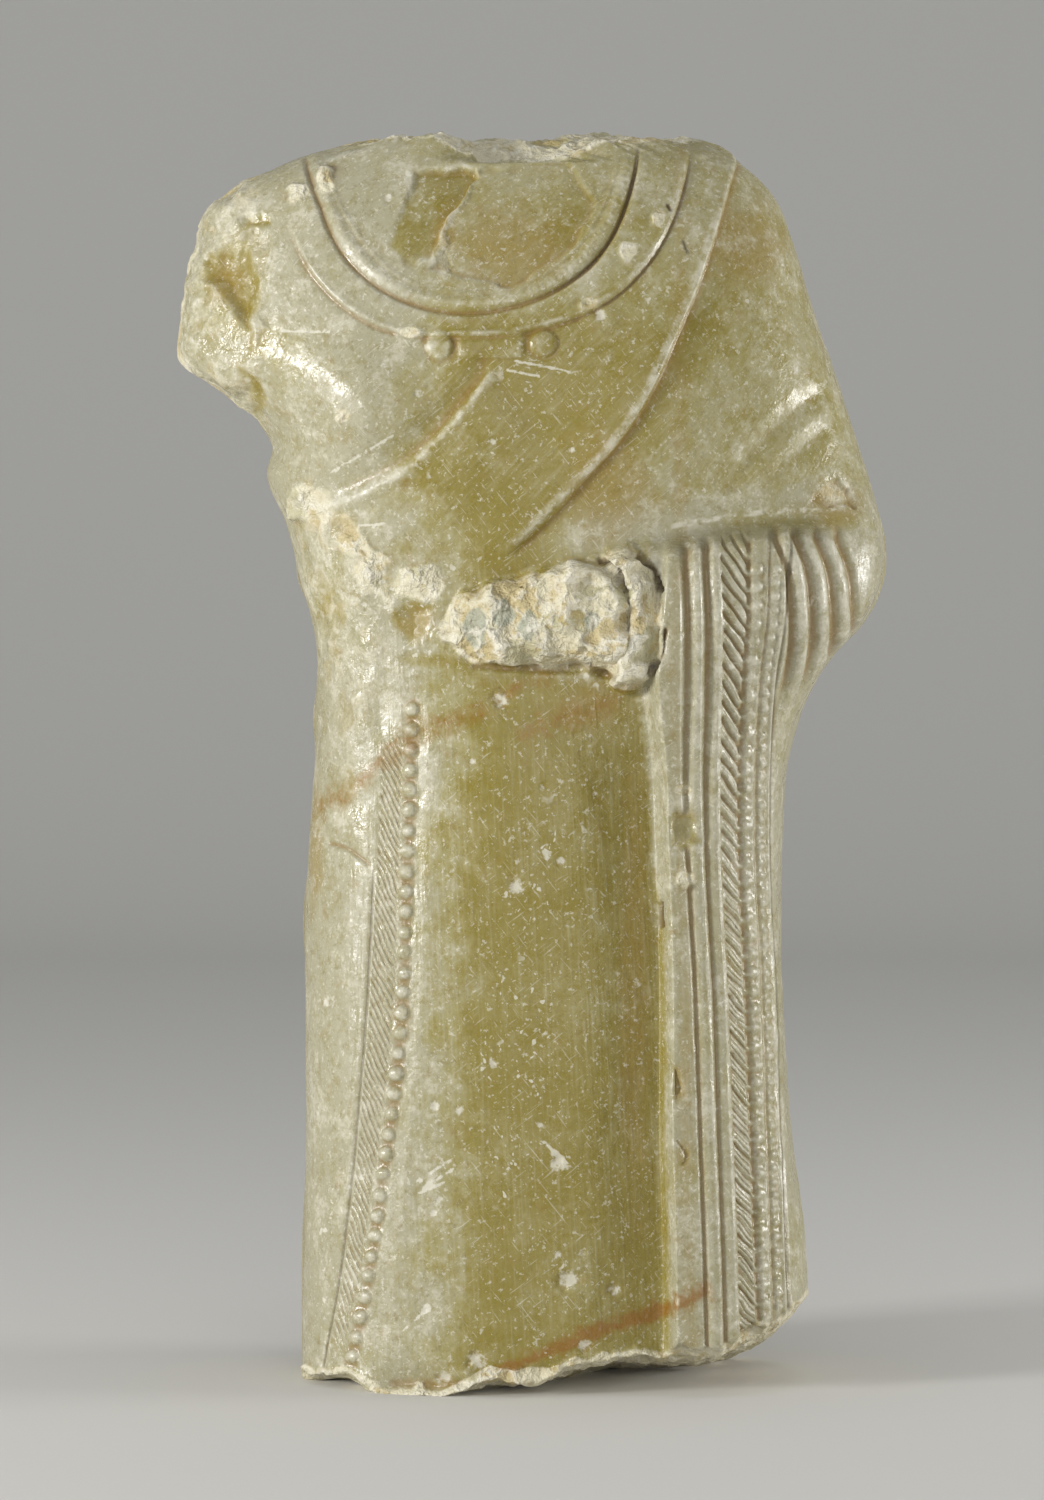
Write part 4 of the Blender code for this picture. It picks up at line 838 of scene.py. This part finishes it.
def calcite_alabaster():
    """Clouded stone with marks laid over it, each weighted by an attribute that noise breaks up.

    Flecks, pits and hairs finer than 0.4 mm are drawn that wide, as coarse as the picture can show them.
    """
    material = bpy.data.materials.new("polished_calcite_alabaster")
    material.use_nodes = True
    tree = material.node_tree
    shader = tree.nodes["Principled BSDF"]
    place = node(tree, "ShaderNodeTexCoord").outputs["Object"]

    def mark(name):
        """Value of the mesh attribute of that name."""
        return node(tree, "ShaderNodeAttribute", {"attribute_name": name}).outputs["Fac"]

    def noise(millimetres, detail=4.0, roughness=0.55, coordinates=place):
        """Fractal noise from 0 to 1, its grains of the given size."""
        return node(tree, "ShaderNodeTexNoise", Vector=coordinates, Scale=1000.0 / millimetres, Detail=detail,
                    Roughness=roughness).outputs["Fac"]

    def calc(operation, first, second=0.0, third=0.0):
        """One sum on values, such as first * second + third for MULTIPLY_ADD."""
        made = node(tree, "ShaderNodeMath", {"operation": operation}, _0=first, _1=second, _2=third)
        return made.outputs[0]

    def times(first, second):
        """Product of two values."""
        return calc("MULTIPLY", first, second)

    def larger(first, second):
        """Larger of two values."""
        return calc("MAXIMUM", first, second)

    def window(value, low, high):
        """Smooth step from 0 where the value is low to 1 where it is high."""
        made = node(tree, "ShaderNodeMapRange", {"interpolation_type": "SMOOTHSTEP"}, Value=value,
                    From_Min=low, From_Max=high)
        return made.outputs[0]

    def patches(millimetres, detail, roughness, low, high):
        """Smooth step on noise, which leaves patches of the given size."""
        return window(noise(millimetres, detail, roughness), low, high)

    def mix(weight, first, second):
        """first * (1 - weight) + second * weight, each a colour code or a node's colour."""
        made = node(tree, "ShaderNodeMix", {"data_type": "RGBA"}, Factor=weight)
        for socket, value in ((made.inputs[6], first), (made.inputs[7], second)):
            if isinstance(value, bpy.types.NodeSocket):
                tree.links.new(value, socket)
            else:
                socket.default_value = linear(value)
        return made.outputs[2]

    def laid(under, weight, strength, code):
        """A colour laid over another, mixed in by weight times strength."""
        return mix(times(weight, strength), under, code)

    def streaks(degrees, length, width):
        """Noise drawn out along a direction, given in degrees from upright as seen from the front."""
        turn = (0.0, math.radians(degrees), 0.0)
        turned = node(tree, "ShaderNodeMapping", Vector=place, Rotation=turn).outputs[0]
        drawn_out = node(tree, "ShaderNodeMapping", Vector=turned, Scale=(1.0, 1.0, width / length))
        return noise(width, 2.0, 0.5, drawn_out.outputs[0])

    def cells(millimetres, feature="F1"):
        """Cells of the given size round scattered centres, their borders bent by the noise."""
        return node(tree, "ShaderNodeTexVoronoi", {"feature": feature}, Vector=bent,
                    Scale=1000.0 / millimetres).outputs

    def dots(millimetres, widest):
        """One round fleck to a cell, its radius widest * r^4 + 0.05 of the cell's own random value r."""
        scattered = cells(millimetres)
        picked = node(tree, "ShaderNodeSeparateColor", Color=scattered["Color"]).outputs[0]
        radius = calc("MULTIPLY_ADD", calc("POWER", picked, 4.0), widest, 0.05)
        return window(scattered["Distance"], radius, times(radius, 0.7))

    def line(name, centre, half, shown):
        """Soft band where an attribute is within half of centre, times shown."""
        off = calc("ABSOLUTE", calc("SUBTRACT", mark(name), centre))
        return times(window(off, half, 0.3 * half), shown)

    swirl = node(tree, "ShaderNodeTexNoise", Vector=place, Scale=420.0, Detail=1.0, Roughness=0.65)
    bent = node(tree, "ShaderNodeVectorMath", {"operation": "MULTIPLY_ADD"}, _0=swirl.outputs["Color"],
                _1=(0.0035, 0.0035, 0.0035), _2=place).outputs[0]
    clouds = noise(26.0, 3.0)
    mottle = noise(5.0, 4.0, 0.72)
    height = node(tree, "ShaderNodeSeparateXYZ", Vector=place).outputs[2]
    upper = window(height, 62.0 * UNIT, 72.0 * UNIT)
    brushed = streaks(3.0, 14.0, 0.7)
    slanting = streaks(-42.0, 12.0, 0.8)
    brushed = calc("MULTIPLY_ADD", calc("SUBTRACT", slanting, brushed), upper, brushed)
    veil = calc("ADD", mark("milkiness"), calc("MULTIPLY_ADD", clouds, 0.7, -0.35))
    veil = calc("ADD", veil, calc("MULTIPLY_ADD", mottle, 1.0, -0.5))
    veil = calc("ADD", veil, calc("MULTIPLY_ADD", brushed, 0.36, -0.18))
    colour = mix(window(veil, -0.1, 0.55), OLIVE, HONEY)
    colour = mix(window(veil, 0.25, 1.05), colour, MILKY)
    tinted = window(calc("MULTIPLY_ADD", noise(8.0, 4.0, 0.65), 1.0, mark("ochre_tint")), 0.50, 1.40)
    colour = laid(colour, tinted, 0.65, OCHRE_FILM)
    wear = times(patches(9.0, 4.0, 0.85, 0.48, 0.66), window(veil, -0.1, 0.9))
    colour = laid(colour, wear, 0.65, WORN)
    seen_deep = times(window(noise(4.5, 4.0, 0.75, bent), 0.52, 0.64), window(veil, 0.1, 0.9))
    colour = laid(colour, seen_deep, 0.5, SEEN_DEEP)
    sunk_pits = patches(1.6, 3.0, 0.75, 0.56, 0.66)
    colour = laid(colour, sunk_pits, 0.35, PIT)
    speckle = patches(1.1, 2.0, 0.70, 0.60, 0.68)
    colour = laid(colour, speckle, 0.45, BRUISE_AND_HIGHLIGHT)
    colour = laid(colour, window(brushed, 0.5, 0.8), 0.10, BRUISE_AND_HIGHLIGHT)
    for degrees in (38.0, -52.0):
        hairs = window(streaks(degrees, 8.0, 0.40), 0.65, 0.73)
        colour = laid(colour, hairs, 0.34, BRUISE_AND_HIGHLIGHT)
    vein = calc("MULTIPLY_ADD", noise(4.0, 4.0, 0.78), 1.8, mark("iron_vein"))
    colour = laid(colour, window(vein, 0.95, 1.6), 0.62, IRON_FILM)
    colour = laid(colour, window(vein, 1.35, 1.70), 0.5, IRON)
    chalk = window(calc("MULTIPLY_ADD", noise(5.0, 4.0, 0.65), 1.0, mark("broken_skin")), 0.80, 1.35)
    colour = laid(colour, chalk, 0.85, CHALK)
    broken = mark("broken_skin")
    facet = cells(7.0)
    tone = node(tree, "ShaderNodeSeparateColor", Color=facet["Color"])
    clear_facet = times(broken, window(tone.outputs[0], 0.78, 0.82))
    colour = laid(colour, clear_facet, 0.5, CLEAR_FACET)
    stained = times(broken, patches(6.0, 4.0, 0.65, 0.52, 0.60))
    stained = larger(stained, times(broken, window(tone.outputs[1], 0.84, 0.88)))
    colour = laid(colour, stained, 0.50, STAIN)
    grey = window(calc("MULTIPLY_ADD", noise(3.0, 3.0, 0.6), 0.5, mark("grey_facet")), 0.55, 0.75)
    colour = laid(colour, grey, calc("MULTIPLY_ADD", broken, 0.6, 0.2), GREY)
    rim = window(cells(7.0, "DISTANCE_TO_EDGE")["Distance"], 0.13, 0.02)
    rim = larger(times(rim, 0.8), mark("facet_rim"))
    rim = times(times(rim, broken), patches(3.0, 3.0, 0.7, 0.38, 0.56))
    colour = laid(colour, rim, 0.85, SHARP_RIM)
    # Ochre in the hollows and pits: partly dirt, partly painted shade.
    colour = laid(colour, mark("groove_dirt_and_shade"), 0.65, OCHRE)
    phase = times(mark("stroke_count"), 2.0 * math.pi)
    stroke = times(window(calc("COSINE", phase), 0.10, 0.95), mark("stroke_strip"))
    stroke = times(stroke, patches(2.5, 4.0, 0.6, 0.30, 0.60))
    colour = laid(colour, stroke, 0.38, OCHRE)
    rubbed = times(mark("rubbed_edge"), patches(3.0, 3.0, 0.7, 0.35, 0.65))
    colour = laid(colour, rubbed, 0.45, BRUISE_AND_HIGHLIGHT)
    # Pale band on the fold crests and the slanting edge: partly wear, partly painted highlight.
    crest = line("fold_place", -0.20, 0.50, mark("fold_wear_and_highlight"))
    crest = times(crest, patches(4.0, 3.0, 0.7, 0.40, 0.60))
    colour = laid(colour, crest, 0.42, BRUISE_AND_HIGHLIGHT)
    # Painted shade in the channel under the forearm's ledge.
    shade_under_ledge = line("ledge_place", 1.3, 1.3, mark("ledge_shown"))
    colour = laid(colour, shade_under_ledge, 0.45, LEDGE_SHADE)
    # Painted highlight along the rim of the forearm's ledge.
    ledge_painted_highlight = line("ledge_place", 0.05, 0.30, mark("ledge_shown"))
    ledge_painted_highlight = times(ledge_painted_highlight, patches(3.5, 3.0, 0.7, 0.40, 0.60))
    colour = laid(colour, ledge_painted_highlight, 0.65, BRUISE_AND_HIGHLIGHT)
    fine_cut = line("cord_place", 0.0, 0.20, calc("MULTIPLY_ADD", mark("deep_cut"), 0.6, 0.03))
    fine_cut = larger(fine_cut, line("outer_place", 0.10, 0.20, times(mark("deep_cut"), 0.4)))
    fine_cut = larger(fine_cut, line("flap_place", 0.0, 0.14, times(mark("flap_shown"), 0.5)))
    fine_cut = larger(fine_cut, line("hem_place", 4.02, 0.15, times(mark("hem_shown"), 0.6)))
    bruised = window(calc("MULTIPLY_ADD", noise(1.8, 3.0, 0.72), 1.0, mark("bruise")), 0.85, 1.1)
    flecks = larger(larger(dots(5.0, 0.26), dots(2.2, 0.30)), dots(1.3, 0.34))
    crowded = calc("MULTIPLY_ADD", mark("fleck_zone"), 0.24, noise(9.0, 3.0, 0.6))
    flecks = times(flecks, window(crowded, 0.56, 0.70))
    bruised = larger(bruised, flecks)
    colour = laid(colour, bruised, 0.7, BRUISE_AND_HIGHLIGHT)
    # Crevices and fine cut lines laid dark brown; round and under the hands this is painted shade.
    colour = laid(colour, larger(mark("dark_line"), fine_cut), 0.85, CREVICE)
    tree.links.new(colour, shader.inputs["Base Color"])

    rough = calc("MULTIPLY_ADD", chalk, 0.25, 0.24)
    rough = calc("MULTIPLY_ADD", window(mottle, 0.40, 0.62), 0.24, rough)
    tree.links.new(calc("MULTIPLY_ADD", bruised, 0.2, rough), shader.inputs["Roughness"])
    shader.inputs["IOR"].default_value = 1.5
    pitted = node(tree, "ShaderNodeBump", Strength=0.6, Distance=0.0004, Height=noise(2.6, 3.0, 0.55))
    lined = node(tree, "ShaderNodeBump", Strength=0.25, Distance=0.0003, Height=brushed,
                 Normal=pitted.outputs[0])
    scored = node(tree, "ShaderNodeBump", Strength=0.5, Distance=0.0004, Height=times(stroke, -1.0),
                  Normal=lined.outputs[0])
    relief = calc("MULTIPLY_ADD", calc("POWER", facet["Distance"], 2.0), 1.2, noise(3.0, 3.0, 0.72))
    crumb = node(tree, "ShaderNodeBump", Strength=broken, Distance=0.0014, Height=relief,
                 Normal=scored.outputs[0])
    tree.links.new(crumb.outputs[0], shader.inputs["Normal"])
    return material


statue_mesh.materials.clear()
statue_mesh.materials.append(calcite_alabaster())


# The floor: a plain pale sheet that sweeps up behind the figure in one curve, so that no corner shows.

FLOOR_COLOUR = "dedcd7"


def sweep():
    """Sheet S(across, along): flat out to the back, then a quarter circle up, then a wall."""
    across = np.linspace(-4.0, 4.0, 3)
    bend = np.linspace(0.0, math.pi / 2.0, 24)
    back, radius, wall = 1.2, 0.9, 3.5
    y = np.concatenate([[-4.0], back + radius * np.sin(bend), [back + radius]])
    z = np.concatenate([[0.0], radius * (1.0 - np.cos(bend)), [wall]])
    grid = np.stack(np.broadcast_arrays(across[None, :], y[:, None], z[:, None]), axis=-1)
    index = np.arange(len(y) * 3).reshape(len(y), 3)
    quads = np.stack([index[:-1, :-1], index[:-1, 1:], index[1:, 1:], index[1:, :-1]], axis=-1).reshape(-1, 4)
    mesh = bpy.data.meshes.new("sweep")
    mesh.from_pydata(grid.reshape(-1, 3).tolist(), [], quads.tolist())
    mesh.shade_smooth()
    return bpy.data.objects.new("sweep", mesh)


floor = sweep()
bpy.context.collection.objects.link(floor)
paper = bpy.data.materials.new("matt_studio_paper")
paper.use_nodes = True
paper_shader = paper.node_tree.nodes["Principled BSDF"]
paper_shader.inputs["Base Color"].default_value = linear(FLOOR_COLOUR)
paper_shader.inputs["Roughness"].default_value = 0.9
paper_shader.inputs["Specular IOR Level"].default_value = 0.0
floor.data.materials.append(paper)


# The studio: large soft lights to both sides and above, a faint one in front, and the eye a little above the
# middle of the figure.

PICTURE_HIGH, SENSOR_WIDTH = 118.48, 36.0
CHEST = (0.0, 0.0, 0.12)
offset = [*(0.5 * (node_low + node_high))[:2] - middle[:2] * UNIT, 0.0]


def aim(made, place, target):
    """Puts an object at a place and turns its -Z axis to the target, with +Y kept upward."""
    made.location = place
    made.rotation_euler = (Vector(target) - Vector(place)).to_track_quat("-Z", "Y").to_euler()
    bpy.context.collection.objects.link(made)


def soft_light(name, place, size, watts):
    """White square area light of the given side, aimed at the chest."""
    lamp = bpy.data.lights.new(name, "AREA")
    lamp.shape = "SQUARE"
    lamp.size = size
    lamp.energy = watts
    aim(bpy.data.objects.new(name, lamp), place, CHEST)


soft_light("left_light", (-0.96, -0.56, 0.26), 0.24, 9.4)
soft_light("right_light", (1.00, -0.05, 0.20), 0.3, 5.4)
soft_light("top_light", (0.0, -0.10, 1.2), 0.6, 1.3)
soft_light("front_light", (0.15, -1.6, 0.35), 0.8, 4.0)
world = bpy.data.worlds.new("studio")
world.use_nodes = True
world.node_tree.nodes["Background"].inputs["Color"].default_value = linear("e8ebee")
world.node_tree.nodes["Background"].inputs["Strength"].default_value = 0.40
bpy.context.scene.world = world
bpy.context.scene.view_settings.view_transform = "Standard"

lens = bpy.data.cameras.new("eye")
lens.sensor_fit = "AUTO"
lens.sensor_width = SENSOR_WIDTH
lens.lens = SENSOR_WIDTH * EYE_DISTANCE / PICTURE_HIGH
eye_place = [EYE_X * UNIT + offset[0], -EYE_DISTANCE * math.cos(EYE_TILT) * UNIT + offset[1],
             (EYE_Z + EYE_DISTANCE * math.sin(EYE_TILT)) * UNIT]
camera = bpy.data.objects.new("eye", lens)
aim(camera, eye_place, (EYE_X * UNIT + offset[0], offset[1], EYE_Z * UNIT))
bpy.context.scene.camera = camera
